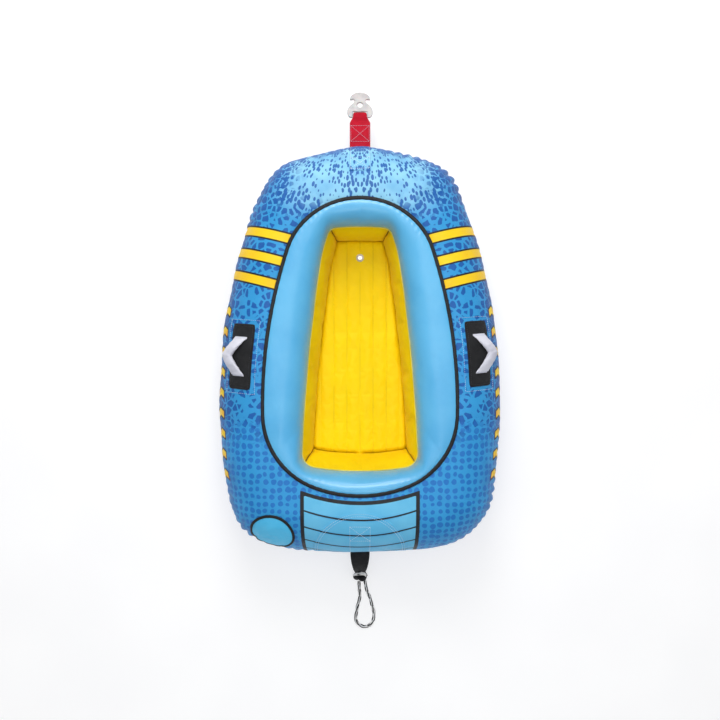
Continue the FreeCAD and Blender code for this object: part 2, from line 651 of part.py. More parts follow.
# ---------------------------------------------------------------- towing strap and hook
THICK = dim("webbing_thickness")
BAR = dim("hook_bar_radius")
REACH = dim("tow_reach")
tow_place = Placement(
    Vector(0, dim("hull_length") / 2 + dim("hinge_stand_off"), dim("seam_height")),
    Rotation(Vector(1, 0, 0), -dim("tow_slope")))
hook_place = tow_place.multiply(Placement(Vector(0, REACH, 0), Rotation()))

strap = new_body("strap")
eye = BAR + dim("loop_clearance") + 2.5
meet = math.sqrt(eye ** 2 - (THICK / 2) ** 2)
pad(strap, "strap_pad", closed_sketch(strap, "strap_side", [
    ((0, THICK / 2), (-THICK / 2, 0), (0, -THICK / 2)),
    ((0, -THICK / 2), (REACH - meet, -THICK / 2)),
    ((REACH - meet, -THICK / 2), (REACH + eye, 0), (REACH - meet, THICK / 2)),
    ((REACH - meet, THICK / 2), (0, THICK / 2)),
], "YZ_Plane"), "webbing_width", midplane=True)
TIP = dim("webbing_tip_width") / 2
corner_cut = [(TIP, REACH - 11), (HALF_WEB + 1, REACH - 23), (HALF_WEB + 1, REACH + 20), (TIP, REACH + 20)]
for side in (LEFT, RIGHT):
    corner = closed_sketch(
        strap, f"tip_corner_{side + 1}", polygon([(side * x, y) for x, y in corner_cut]), lift=20)
    pocket = strap.newObject("PartDesign::Pocket", f"tip_pocket_{side + 1}")
    pocket.Profile = corner
    pocket.Length = 40
eye_sketch = sketch_in(strap, "bar_eye", "YZ_Plane")
eye_sketch.addGeometry(Part.Circle(Vector(REACH, 0, 0), Vector(0, 0, 1), BAR + dim("loop_clearance")), False)
eye_pocket = strap.newObject("PartDesign::Pocket", "bar_eye_pocket")
eye_pocket.Profile = eye_sketch
eye_pocket.Type = "ThroughAll"
eye_pocket.Midplane = True
strap.Placement = tow_place
sub_part(strap, "tow_strap")

hook = new_body("hook")
window = TIP + 1.6
half_plan = [
    (window, -8), (window + 6, -10), (36, -6), (40, 6), (37, 18), (29, 32), (20, 40), (18, 46),
    (24, 50), (30, 49), (31, 54), (25, 63), (13, 70),
]
plan = [(x, y) for x, y in half_plan] + [(-x, y) for x, y in half_plan[::-1]]
inside = [(-window, 12), (window, 12)]
hook_sketch = closed_sketch(hook, "hook_plan", polygon(plan + inside))
pad(hook, "hook_pad", hook_sketch, "hook_thickness", midplane=True)
eye_hole = sketch_in(hook, "hook_eye", lift=20)
eye_hole.addGeometry(Part.Circle(
    Vector(0, dim("hook_eye_forward"), 0), Vector(0, 0, 1), dim("hook_eye_radius")), False)
eye_hole_pocket = hook.newObject("PartDesign::Pocket", "hook_eye_pocket")
eye_hole_pocket.Profile = eye_hole
eye_hole_pocket.Length = 40
doc.recompute()
rounding = hook.newObject("PartDesign::Fillet", "hook_rounding")
rounding.Base = (eye_hole_pocket, [
    f"Edge{i}" for i, e in enumerate(eye_hole_pocket.Shape.Edges, start=1)
    if e.BoundBox.ZLength < 1e-6 and e.BoundBox.YMin > 13
    and not isinstance(e.Curve, Part.Circle)])
rounding.Radius = 2.5
bar_sketch = sketch_in(hook, "hook_bar", "YZ_Plane")
bar_sketch.addGeometry(Part.Circle(Vector(0, 0, 0), Vector(0, 0, 1), BAR), False)
pad(hook, "hook_bar_pad", bar_sketch, f"{2 * window + 4}", midplane=True)
hook.Placement = hook_place
sub_part(hook, "tow_hook")

# ---------------------------------------------------------------- tail strap, knot and rope loop
tail_place = Placement(
    Vector(0, -dim("hull_length") / 2 - dim("hinge_stand_off"), dim("seam_height") - 4),
    Rotation(Vector(0, 0, 1), 180))
TAIL = dim("tail_thickness")
BEND = dim("tail_bend_radius")
bend_turn = math.radians(dim("tail_bend_turn"))


def tail_point(turn, offset, beyond=0.0):
    """A point of the tail strap's side profile: offset above its middle, after a turn downwards."""
    y = (BEND + offset) * math.sin(turn) + beyond * math.cos(turn)
    z = -BEND + (BEND + offset) * math.cos(turn) - beyond * math.sin(turn)
    return (y, z)


def tail_profile():
    """Side profile of the tail strap: a round start on the hinge, a bend and a straight drop."""
    half, drop = TAIL / 2, dim("tail_drop")
    return [
        ((0, half), (-half, 0), (0, -half)),
        ((0, -half), tail_point(bend_turn / 2, -half), tail_point(bend_turn, -half)),
        (tail_point(bend_turn, -half), tail_point(bend_turn, -half, drop)),
        (tail_point(bend_turn, -half, drop), tail_point(bend_turn, half, drop)),
        (tail_point(bend_turn, half, drop), tail_point(bend_turn, half)),
        (tail_point(bend_turn, half), tail_point(bend_turn / 2, half), (0, half)),
    ]


tail = new_body("tail")
tail_sketch = closed_sketch(tail, "tail_side", tail_profile(), "YZ_Plane")
pad(tail, "tail_pad", tail_sketch, "tail_width", midplane=True)
tail_end_y = tail_point(bend_turn, 0, dim("tail_drop"))[0]
HALF_TAIL, HALF_TIP = dim("tail_width") / 2, dim("tail_tip_width") / 2
for side in (LEFT, RIGHT):
    corners = [(HALF_TAIL, -0.5), (HALF_TIP, tail_end_y + 3), (HALF_TAIL + 9, tail_end_y + 3),
               (HALF_TAIL + 9, -0.5)]
    taper = closed_sketch(
        tail, f"tail_taper_{side + 1}", polygon([(side * x, y) for x, y in corners]), lift=20)
    pocket = tail.newObject("PartDesign::Pocket", f"tail_taper_pocket_{side + 1}")
    pocket.Profile = taper
    pocket.Length = 200
tail.Placement = tail_place

knot_centre = Vector(0, -718, dim("knot_half_height") + 0.3)
knot = doc.addObject("Part::Ellipsoid", "knot")
bind(knot, "Radius1", "knot_half_height")
bind(knot, "Radius2", "knot_half_width")
bind(knot, "Radius3", "knot_half_length")
knot.Placement = Placement(knot_centre, Rotation())
sub_part(boolean("Cut", "tail_to_knot", tail, knot), "tail_strap")

ROPE = dim("rope_diameter")
ON_GROUND = ROPE / 2 + 0.3
# the rope's route, out of the knot along one side, round the end of the loop and back
ROPE_ROUTE = [
    (-7, -722, 15.0), (0, -772, ON_GROUND), (-2, -806, ON_GROUND), (-13, -841, ON_GROUND),
    (-14, -877, ON_GROUND), (15, -893.5, ON_GROUND), (44, -877, ON_GROUND), (45, -838, ON_GROUND),
    (33, -800, ON_GROUND), (19, -765, ON_GROUND), (11, -722, 15.0),
]


def rope_wire(points):
    """Straight runs joined by tangent arcs; returns the wire and the tightest arc radius."""
    points = [Vector(*p) for p in points]
    edges, tightest = [], 1e9
    start = points[0]
    for before, corner, after in zip(points, points[1:], points[2:]):
        run_in, run_out = corner - before, after - corner
        half_turn = run_in.getAngle(run_out) / 2
        trim = 0.45 * min(run_in.Length, run_out.Length)
        radius = trim / math.tan(half_turn)
        tightest = min(tightest, radius)
        enter = corner - run_in.normalize() * trim
        leave = corner + run_out.normalize() * trim
        inward = (run_out - run_in).normalize()
        middle = corner + inward * (radius / math.cos(half_turn) - radius)
        edges.append(Part.makeLine(start, enter))
        edges.append(Part.Arc(enter, middle, leave).toShape())
        start = leave
    edges.append(Part.makeLine(start, points[-1]))
    return Part.Wire(edges), tightest


wire, tightest_bend = rope_wire(ROPE_ROUTE)
tangent = wire.Edges[0].tangentAt(wire.Edges[0].FirstParameter)
section = Part.Wire(Part.makeCircle(ROPE / 2, Vector(*ROPE_ROUTE[0]), tangent))
rope_blank = doc.addObject("Part::Feature", "rope_blank")
rope_blank.Shape = wire.makePipeShell([section], True, True)
true_volume = wire.Length * math.pi * ROPE ** 2 / 4
print(f"rope: length {wire.Length:.1f}, tightest bend {tightest_bend:.1f}, "
      f"volume / (section x length) {rope_blank.Shape.Volume / true_volume:.4f}")
sub_part(boolean("Cut", "rope_to_knot", rope_blank, knot), "rope_loop")
knot_piece = boolean("Cut", "knot_piece", knot, box("under_ground", (-60, -800, -20), (60, -650, 0)))
sub_part(knot_piece, "rope_knot")

# ---------------------------------------------------------------- zipper
side_centre, side_radius, _, _ = hull_outline.half()[2]
zipper_pivot = Vector(-side_centre.x, side_centre.y, 0)
ZIP = dim("zipper_height")


def side_sector(name, first, last, low, high):
    """A slab between two heights, over part of the left side's arc."""
    turns = [math.radians(first + (last - first) * i / 2) for i in range(3)]
    corners = [(zipper_pivot.x - reach * math.sin(t), zipper_pivot.y + reach * math.cos(t))
               for reach, along in ((side_radius * 1.03, turns), (side_radius * 0.9, turns[::-1]))
               for t in along]
    body = new_body(name)
    sketch = closed_sketch(body, name + "_plan", polygon(corners), lift=low)
    pad(body, name + "_pad", sketch, str(high - low))
    return body


START = dim("zipper_start")
END = START + dim("zipper_sweep")
HALF_ZIP = dim("zipper_width") / 2
HALF_TEETH = dim("teeth_width") / 2
HALF_SLIDER = dim("slider_width") / 2
tape_zone = side_sector("tape_zone", START - 0.6, END + 0.6, ZIP - HALF_ZIP, ZIP + HALF_ZIP)
teeth_zone = side_sector("teeth_zone", START, END, ZIP - HALF_TEETH, ZIP + HALF_TEETH)
sub_part(boolean("Common", "tape_common", webbing_layer, tape_zone), "zipper_tape")
sub_part(boolean("Common", "teeth_common", proud_layer, teeth_zone), "zipper_teeth")

slider_low = bun("slider_low", -(PAD + 0.4), opened=False)
slider_high = bun("slider_high", -(PAD + 3.8), opened=False)
slider_layer = boolean("Cut", "slider_layer", slider_high, slider_low)
slider_end = START + dim("slider_sweep")
slider_zone = side_sector("slider_zone", START, slider_end, ZIP - HALF_SLIDER, ZIP + HALF_SLIDER)
slider_block = boolean("Common", "slider_block", slider_layer, slider_zone)
middle_turn = math.radians((START + slider_end) / 2)
bottom_round = dim("hull_bottom_round")
zip_inset = bottom_round - math.sqrt(bottom_round ** 2 - (bottom_round - ZIP) ** 2)
slider_out = Vector(-math.sin(middle_turn), math.cos(middle_turn), 0)
slider_base = zipper_pivot + slider_out * (side_radius - zip_inset) + Vector(0, 0, ZIP)
slider_place = Placement(slider_base, Rotation(
    slider_out, Vector(0, 0, 1).cross(slider_out), Vector(0, 0, 1), "ZXY"))
PIN_OUT = 14.0
lugs = [box(f"lug_{round(low)}", (5.5, low, -2.6), (PIN_OUT + 2, high, 2.6))
        for low, high in ((-5.6, -4), (4, 5.6))]
pin = cylinder("slider_pin", 1.2, 11.2, Vector(PIN_OUT, -5.6, 0), Vector(0, 1, 0))
lug_frame = fuse("lug_frame", pin, *lugs)
lug_frame.Placement = slider_place
lug_clear = boolean("Cut", "lug_clear", lug_frame, slider_low)
sub_part(fuse("slider_whole", slider_block, lug_clear), "zipper_slider")

knuckle = cylinder("pull_knuckle", 2.7, 7, Vector(PIN_OUT, -3.5, 0), Vector(0, 1, 0))
tab = box("pull_tab", (PIN_OUT - 1, -3.5, -dim("pull_length")), (PIN_OUT + 1, 3.5, -1.8))
pull_blank = fuse("pull_blank", knuckle, tab)
pull_hole = cylinder("pull_hole", 1.6, 12, Vector(PIN_OUT, -6, 0), Vector(0, 1, 0))
pull = boolean("Cut", "pull", pull_blank, pull_hole)
pull.Placement = slider_place
sub_part(pull, "zipper_pull")

# ---------------------------------------------------------------- check and write
doc.recompute()
for feature in doc.Objects:
    if "Invalid" in feature.State or "Error" in feature.State:
        raise RuntimeError(f"{feature.Name} did not build: {feature.State}")

os.makedirs("parts", exist_ok=True)
for feature in sub_parts:
    shape = feature.Shape
    if shape.isNull() or not shape.isValid() or not shape.Solids:
        raise RuntimeError(f"{feature.Label} has no valid shape")
    shape.exportStep(f"parts/{feature.Label}.step")

flap_drop = drop_beside(FLAP, dim("flap_binding_layer"))
for label, place, point, axis in (
    ("tow_strap_swing", tow_place, Vector(0, 0, 0), Vector(1, 0, 0)),
    ("tow_hook_swing", hook_place, Vector(0, 0, 0), Vector(1, 0, 0)),
    ("hook_eye", hook_place, Vector(0, dim("hook_eye_forward"), 0), Vector(0, 0, 1)),
    ("left_handle_swing", handle_place(LEFT, LIFT), Vector(0, 0, 0), Vector(0, -1, 0)),
    ("right_handle_swing", handle_place(RIGHT, LIFT), Vector(0, 0, 0), Vector(0, -1, 0)),
    ("tail_strap_swing", tail_place, Vector(0, 0, 0), Vector(1, 0, 0)),
    ("valve_flap_lift", valve_place, Vector(-FLAP, 0, -flap_drop + 0.1), Vector(0, -1, 0)),
    ("valve_cap_turn", valve_place, Vector(0, 0, 0), Vector(0, 0, 1)),
    ("zipper_slide", Placement(zipper_pivot, Rotation()), Vector(0, 0, ZIP), Vector(0, 0, 1)),
    ("zipper_pull_swing", slider_place, Vector(PIN_OUT, 0, 0), Vector(0, 1, 0)),
):
    at, along = place.multVec(point), place.Rotation.multVec(axis)
    print(f"{label}: at {at.x:.3f} {at.y:.3f} {at.z:.3f}, axis {along.x:.6f} {along.y:.6f} {along.z:.6f}")
print(f"{len(sub_parts)} sub-parts written")
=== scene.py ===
import math

import bmesh
import bpy
import numpy as np
from mathutils import Matrix, Vector


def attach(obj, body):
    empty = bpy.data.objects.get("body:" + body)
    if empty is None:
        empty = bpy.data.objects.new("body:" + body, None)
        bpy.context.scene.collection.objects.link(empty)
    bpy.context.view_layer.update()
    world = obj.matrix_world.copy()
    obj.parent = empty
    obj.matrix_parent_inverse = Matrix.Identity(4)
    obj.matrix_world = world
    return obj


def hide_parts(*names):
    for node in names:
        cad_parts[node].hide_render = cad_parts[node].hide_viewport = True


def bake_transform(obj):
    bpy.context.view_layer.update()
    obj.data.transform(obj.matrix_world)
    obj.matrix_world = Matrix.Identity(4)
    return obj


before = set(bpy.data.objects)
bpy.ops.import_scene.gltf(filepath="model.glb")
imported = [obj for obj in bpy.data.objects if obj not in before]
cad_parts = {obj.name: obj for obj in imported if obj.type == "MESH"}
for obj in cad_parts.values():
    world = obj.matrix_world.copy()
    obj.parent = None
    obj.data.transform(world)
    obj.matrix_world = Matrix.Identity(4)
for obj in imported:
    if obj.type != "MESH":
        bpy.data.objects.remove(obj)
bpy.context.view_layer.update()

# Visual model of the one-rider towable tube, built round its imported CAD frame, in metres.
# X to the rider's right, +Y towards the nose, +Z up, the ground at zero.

rng = np.random.default_rng(11)
PI = math.pi
LEFT, RIGHT = -1, 1
UP = np.array([0.0, 0.0, 1.0])

# ---------------------------------------------------------------- sizes, as in the CAD part
HEIGHT = 0.275
TOP_ROUND = 0.135
BOTTOM_ROUND = 0.100
SEAM = 0.122
RIM = 0.205
COLLAR_ROUND = 0.070
WALL_LEAN = 0.026
FLOOR = 0.0835
CHANNEL_PITCH = 0.041
CHANNEL_RISE = 0.0045
BINDING = 0.0060
DRAIN = (0.0, 0.290)

# ---------------------------------------------------------------- camera, first of all
CAMERA_HEIGHT = 3.0
CAMERA_BACK = -0.030
MIDDLE_HEIGHT = 0.140
VIEW_WIDTH = 2.2176
SENSOR = 36.0

camera_data = bpy.data.cameras.new("camera")
camera_data.sensor_width = SENSOR
camera_data.lens = SENSOR * (CAMERA_HEIGHT - MIDDLE_HEIGHT) / VIEW_WIDTH
camera = bpy.data.objects.new("camera", camera_data)
camera.location = (0.0, CAMERA_BACK, CAMERA_HEIGHT)
bpy.context.scene.collection.objects.link(camera)
bpy.context.scene.camera = camera
bpy.context.scene.view_settings.view_transform = "Standard"


# ---------------------------------------------------------------- shader helpers
def rgb(red, green, blue):
    """A colour given as 0 to 255 screen values, as the linear values that sockets take."""
    values = [c / 255 for c in (red, green, blue)]
    return tuple(c / 12.92 if c <= 0.04045 else ((c + 0.055) / 1.055) ** 2.4 for c in values) + (1.0,)


class Shader:
    """A material with one Principled shader, and short calls for its nodes."""

    def __init__(self, name, **constants):
        self.material = bpy.data.materials.new(name)
        self.material.use_nodes = True
        self.tree = self.material.node_tree
        self.bsdf = next(n for n in self.tree.nodes if n.type == "BSDF_PRINCIPLED")
        for socket, value in constants.items():
            self.bsdf.inputs[socket.replace("_", " ")].default_value = value

    def node(self, kind, inputs=(), **props):
        node = self.tree.nodes.new(kind)
        for key, value in props.items():
            setattr(node, key, value)
        for key, value in dict(inputs).items():
            self.feed(node.inputs[key], value)
        return node

    def feed(self, socket, value):
        if isinstance(value, bpy.types.NodeSocket):
            self.tree.links.new(value, socket)
        else:
            socket.default_value = value

    def math(self, operation, *values, clamp=False):
        node = self.node("ShaderNodeMath", operation=operation, use_clamp=clamp)
        for socket, value in zip(node.inputs, values):
            self.feed(socket, value)
        return node.outputs[0]

    def mix(self, share, first, second):
        node = self.node("ShaderNodeMix", data_type="RGBA")
        self.feed(node.inputs[0], share)
        self.feed(node.inputs[6], first)
        self.feed(node.inputs[7], second)
        return node.outputs[2]

    def attribute(self, name):
        """The three numbers of a vector attribute."""
        node = self.node("ShaderNodeAttribute", attribute_name=name)
        split = self.node("ShaderNodeSeparateXYZ", {0: node.outputs["Vector"]})
        return node.outputs["Vector"], split.outputs

    def step(self, value, at, soft=0.0005):
        """1 where value is under at, 0 over it, with a soft edge."""
        node = self.node("ShaderNodeMapRange", {
            "Value": value, "From Min": at + soft, "From Max": at - soft}, interpolation_type="SMOOTHSTEP")
        return node.outputs["Result"]

    def spread(self, value, low, high, to_low=0.0, to_high=1.0):
        node = self.node("ShaderNodeMapRange", {
            "Value": value, "From Min": low, "From Max": high, "To Min": to_low, "To Max": to_high},
            interpolation_type="SMOOTHSTEP")
        return node.outputs["Result"]

    def place(self):
        return self.node("ShaderNodeTexCoord").outputs["Object"]

    def noise(self, scale, detail=3.0, vector=None, rough=0.5, warp=0.0):
        node = self.node("ShaderNodeTexNoise", {
            "Vector": self.place() if vector is None else vector, "Scale": scale, "Detail": detail,
            "Roughness": rough, "Distortion": warp})
        return node.outputs["Fac"]

    def cloth_place(self):
        """The metres along and across the cloth, from the piece's UV map."""
        node = self.node("ShaderNodeUVMap", uv_map="cloth")
        return node.outputs["UV"], self.node("ShaderNodeSeparateXYZ", {0: node.outputs["UV"]}).outputs

    def weave(self, pitch, rib=1.0):
        """Height of a plain weave; rib over 1 makes the threads across the cloth the wider ones."""
        _, (u, v, _) = self.cloth_place()
        across = self.math("SINE", self.math("MULTIPLY", u, 2 * PI / pitch))
        along = self.math("SINE", self.math("MULTIPLY", v, 2 * PI / (pitch * rib)))
        return self.math("MULTIPLY_ADD", across, along, 1.0)

    def bump(self, height, distance, strength=1.0, under=None):
        node = self.node("ShaderNodeBump", {"Height": height, "Distance": distance, "Strength": strength})
        if under is not None:
            self.feed(node.inputs["Normal"], under)
        return node.outputs["Normal"]

    def finish(self, colour, roughness, normal):
        self.feed(self.bsdf.inputs["Base Color"], colour)
        self.feed(self.bsdf.inputs["Roughness"], roughness)
        self.feed(self.bsdf.inputs["Normal"], normal)
        return self.material


# ---------------------------------------------------------------- materials
def cloth(name, colour, shade, pitch=0.0011, roughness=0.5, sheen=0.03, wrinkle=0.0007, rib=1.0, wear=None,
          **constants):
    """Woven cloth: colour drifts towards shade, with a weave, soft wrinkles and paler worn patches."""
    s = Shader(name,
               **{"Sheen_Weight": sheen, "Sheen_Roughness": 0.4, "Specular_IOR_Level": 0.3, **constants})
    drift = s.spread(s.noise(7.0, 4.0), 0.35, 0.68)
    base = s.mix(drift, colour, shade)
    thread = s.weave(pitch, rib)
    fleck = s.noise(900.0, 2.0)
    base = s.mix(s.spread(fleck, 0.3, 0.75, 0.0, 0.16), base, shade)
    if wear is not None:
        rubbed = s.math("MULTIPLY", s.spread(s.noise(38.0, 5.0), 0.60, 0.78), 0.35)
        base = s.mix(rubbed, base, wear)
    folds = s.bump(s.noise(24.0, 3.0, warp=0.6), wrinkle * 6, 0.35)
    normal = s.bump(thread, 0.00022, 0.55, folds)
    rough = s.spread(s.noise(55.0, 3.0), 0.3, 0.7, roughness - 0.07, roughness + 0.09)
    return s.finish(base, rough, normal)


def webbing(name, colour, shade, pitch=0.0024):
    """Thick ribbed webbing with a herringbone of two threads."""
    s = Shader(name, Sheen_Weight=0.02, Sheen_Roughness=0.35, Specular_IOR_Level=0.2)
    _, (u, v, _) = s.cloth_place()
    across, along = s.math("MULTIPLY", u, 2 * PI / pitch), s.math("MULTIPLY", v, 2 * PI / (pitch * 2.2))
    slant, back = s.math("ADD", across, along), s.math("SUBTRACT", across, along)
    ribs = s.math("MAXIMUM", s.math("SINE", slant), s.math("SINE", back))
    base = s.mix(s.spread(ribs, -0.6, 0.9), shade, colour)
    base = s.mix(s.spread(s.noise(70.0, 4.0), 0.4, 0.75, 0.0, 0.35), base, shade)
    normal = s.bump(ribs, 0.0005, 0.8, s.bump(s.noise(60.0, 3.0), 0.001, 0.3))
    return s.finish(base, s.spread(s.noise(120.0), 0.3, 0.7, 0.48, 0.68), normal)


def moulded(name, colour, shade, roughness=0.35, grain=260.0, **constants):
    """Moulded plastic or coated metal with a fine grain, and scuffs."""
    s = Shader(name, **constants)
    drift = s.spread(s.noise(45.0, 4.0), 0.35, 0.7)
    base = s.mix(drift, colour, shade)
    scuff = s.spread(s.noise(180.0, 6.0, rough=0.7), 0.55, 0.75)
    normal = s.bump(s.noise(grain, 3.0), 0.0003, 0.35)
    return s.finish(base, s.math("MULTIPLY_ADD", scuff, 0.2, roughness), normal)


AQUA = rgb(96, 188, 236)
AQUA_SHADE = rgb(84, 178, 230)
YELLOW = rgb(255, 222, 4)
YELLOW_SHADE = rgb(250, 211, 2)
BLACK = rgb(22, 23, 27)
BLACK_SHADE = rgb(12, 12, 15)

COLLAR = cloth("collar_nylon", AQUA, AQUA_SHADE, roughness=0.42, Coat_Weight=0.60, Coat_Roughness=0.26,
               Specular_IOR_Level=0.2)
FLAP = cloth("flap_nylon", rgb(88, 200, 246), rgb(74, 188, 238), roughness=0.48)
WALL = cloth("wall_nylon", YELLOW, YELLOW_SHADE, roughness=0.46, Specular_IOR_Level=0.12)
FLOOR_CLOTH = cloth("floor_nylon", YELLOW, rgb(252, 215, 3), roughness=0.42, Specular_IOR_Level=0.12)
LOWER = cloth("lower_nylon", rgb(38, 116, 196), rgb(28, 98, 178), roughness=0.52, wear=rgb(96, 150, 205))
BASE = cloth("base_nylon", rgb(58, 63, 76), rgb(44, 48, 60), pitch=0.0018, roughness=0.6,
             wear=rgb(112, 117, 128))
TAPE = cloth("binding_tape", BLACK, BLACK_SHADE, pitch=0.0013, roughness=0.55, rib=1.8)
PAD = cloth("pad_neoprene", BLACK, BLACK_SHADE, pitch=0.0009, roughness=0.72, sheen=0.08)
GRIP = cloth("grip_nylon", rgb(226, 226, 236), rgb(196, 197, 212), pitch=0.0010, roughness=0.38,
             wrinkle=0.0014)
LOOP_TAPE = cloth("loop_fleece", rgb(30, 31, 36), rgb(18, 18, 22), pitch=0.0006, roughness=0.9, sheen=0.3)
RIM_TAPE = cloth("rim_tape", rgb(238, 226, 120), rgb(222, 206, 84), pitch=0.0012)
RED_WEB = webbing("red_webbing", rgb(216, 8, 46), rgb(170, 2, 30))
BLACK_WEB = webbing("black_webbing", rgb(38, 38, 41), rgb(17, 17, 19))
THREAD = cloth("pale_thread", rgb(226, 238, 250), rgb(190, 212, 235), pitch=0.0005, roughness=0.5)
DARK_THREAD = cloth("dark_thread", rgb(62, 64, 72), rgb(40, 42, 50), pitch=0.0005, roughness=0.55)
AMBER_THREAD = cloth("amber_thread", rgb(150, 112, 12), rgb(112, 80, 6), pitch=0.0005, roughness=0.6)
STRAND_BLACK = cloth("rope_black", rgb(28, 28, 30), rgb(14, 14, 16), pitch=0.0007, roughness=0.62, sheen=0.05)
STRAND_WHITE = cloth("rope_white", rgb(246, 246, 244), rgb(205, 205, 205), pitch=0.0007, roughness=0.6,
                     sheen=0.1)
BLADDER = moulded("bladder_vinyl", rgb(40, 42, 48), rgb(28, 30, 36), 0.38, Coat_Weight=0.15)
HOOK = moulded("hook_plastic", rgb(186, 187, 187), rgb(160, 163, 164), 0.3, 320.0,
               Transmission_Weight=0.28, Subsurface_Weight=0.25, IOR=1.46)
VALVE = moulded("valve_plastic", rgb(36, 37, 41), rgb(22, 23, 26), 0.36, Coat_Weight=0.2)
BOOT = moulded("valve_boot", rgb(58, 60, 66), rgb(40, 42, 47), 0.5)
# painted light: the drain tube's plastic glows, standing in for light seen through the drain's hole
WHITE_PLASTIC_PAINTED_GLOW = moulded("white_plastic", rgb(240, 236, 222), rgb(222, 216, 200), 0.34,
                        Emission_Color=(1.0, 0.96, 0.86, 1.0), Emission_Strength=0.55)
ZIP_PLASTIC = moulded("zipper_plastic", rgb(30, 31, 35), rgb(18, 18, 22), 0.34)
METAL = moulded("brushed_metal", rgb(128, 120, 104), rgb(100, 92, 78), 0.30, 500.0, Metallic=0.9)


# ---------------------------------------------------------------- mesh helpers
def place_object(name, mesh, material, smooth=True):
    obj = bpy.data.objects.new(name, mesh)
    bpy.context.scene.collection.objects.link(obj)
    mesh.materials.append(material)
    mesh.polygons.foreach_set("use_smooth", [smooth] * len(mesh.polygons))
    return obj


def distances(points, axis):
    """How far along each grid line its points lie, averaged over the lines."""
    steps = np.linalg.norm(np.diff(points, axis=axis), axis=2).mean(axis=1 - axis)
    return np.concatenate([[0.0], np.cumsum(steps)])


def grid(name, points, material, wrap=False, outward=None, fields=None, holes=(), thick=0.0, caps=False):
    """A mesh of rows and columns of points; wrap closes each row on itself, and caps close both ends.

    outward is a grid of normals that the faces turn to. fields are vector attributes. A hole is
    (centre, axis, radius): faces inside it go, and the points beside it move onto its circle."""
    points = np.array(points, float)
    rows, columns = points.shape[:2]
    along = distances(np.concatenate([points, points[:, :1]], axis=1), 1) if wrap else distances(points, 1)
    across = distances(points, 0)
    flat = points.reshape(-1, 3).copy()
    gone = np.zeros(len(flat), bool)
    for centre, axis, radius in holes:
        offset = flat - np.array(centre)
        axis = np.array(axis, float)
        height = offset @ axis
        radial = offset - height[:, None] * axis
        reach = np.linalg.norm(radial, axis=1)
        near = np.abs(height) < 0.05
        step = max(along[1], across[1])
        rim = near & (reach > radius - step * 0.75) & (reach < radius + step * 0.75)
        flat[rim] += radial[rim] * (radius / reach[rim] - 1)[:, None]
        gone |= near & (reach <= radius - step * 0.75)
    row, column = np.meshgrid(np.arange(rows - 1), np.arange(columns if wrap else columns - 1), indexing="ij")
    row, column = row.ravel(), column.ravel()
    beside = (column + 1) % columns
    quads = np.stack([row * columns + column, row * columns + beside,
                      (row + 1) * columns + beside, (row + 1) * columns + column], axis=1)
    u = np.stack([column, column + 1, column + 1, column], axis=1)
    v = np.stack([row, row, row + 1, row + 1], axis=1)
    keep = ~gone[quads].any(axis=1)
    quads, u, v = quads[keep], u[keep], v[keep]
    middle = quads[len(quads) // 2]
    facing = np.cross(flat[middle[2]] - flat[middle[0]], flat[middle[3]] - flat[middle[1]])
    if outward is not None:
        turned = facing @ np.array(outward, float).reshape(-1, 3)[middle[0]] < 0
    else:
        corner = flat[quads]
        volume = np.einsum("ij,ij->i", corner[:, 0], np.cross(corner[:, 1], corner[:, 2])).sum()
        volume += np.einsum("ij,ij->i", corner[:, 0], np.cross(corner[:, 2], corner[:, 3])).sum()
        turned = volume < 0
    if turned:
        quads, u, v = quads[:, ::-1], u[:, ::-1], v[:, ::-1]
    faces = quads.tolist()
    marks = np.stack([along[u], across[v]], axis=2).reshape(-1, 2)
    if caps:
        first, last = list(range(columns)), list(range((rows - 1) * columns, rows * columns))
        faces += [first if turned else first[::-1], last[::-1] if turned else last]
        marks = np.concatenate([marks, np.zeros((2 * columns, 2))])
    mesh = bpy.data.meshes.new(name)
    mesh.from_pydata(flat, [], faces)
    layer = mesh.uv_layers.new(name="cloth")
    layer.data.foreach_set("uv", marks.astype(np.float32).ravel())
    for key, values in (fields or {}).items():
        store = mesh.attributes.new(key, "FLOAT_VECTOR", "POINT")
        store.data.foreach_set("vector", np.array(values, np.float32).reshape(-1))
    if gone.any():
        work = bmesh.new()
        work.from_mesh(mesh)
        bmesh.ops.delete(work, geom=[p for p in work.verts if not p.link_faces], context="VERTS")
        work.to_mesh(mesh)
        work.free()
    obj = place_object(name, mesh, material)
    if thick:
        shell = obj.modifiers.new("cloth_thickness", "SOLIDIFY")
        shell.thickness = thick
        shell.offset = -1.0
    return obj


def unit(vectors):
    vectors = np.asarray(vectors, float)
    return vectors / np.maximum(np.linalg.norm(vectors, axis=-1, keepdims=True), 1e-12)


def headings(path, closed=False):
    """The unit direction of travel at each point of a path."""
    if closed:
        return unit(np.roll(path, -1, axis=0) - np.roll(path, 1, axis=0))
    return unit(np.gradient(path, axis=0))


def carried_frame(path, closed=False, start=UP):
    """Two unit vectors square to the path at each point, carried along it without twisting."""
    ahead = headings(path, closed)
    side = np.zeros_like(path)
    side[0] = unit(np.cross(start, ahead[0]))
    for i in range(1, len(path)):
        side[i] = unit(side[i - 1] - ahead[i] * (side[i - 1] @ ahead[i]))
    return side, np.cross(ahead, side)


def tube(name, path, radius, material, sides=10, closed=False):
    """A round tube along a path; radius is a number or one for each point."""
    path = np.array(path, float)
    side, over = carried_frame(path, closed)
    turn = np.arange(sides) * 2 * PI / sides
    ring = side[:, None] * np.cos(turn)[:, None] + over[:, None] * np.sin(turn)[:, None]
    points = path[:, None] + ring * np.broadcast_to(radius, len(path))[:, None, None]
    if closed:
        points = np.concatenate([points, points[:1]])
    return grid(name, points, material, wrap=True, caps=not closed)


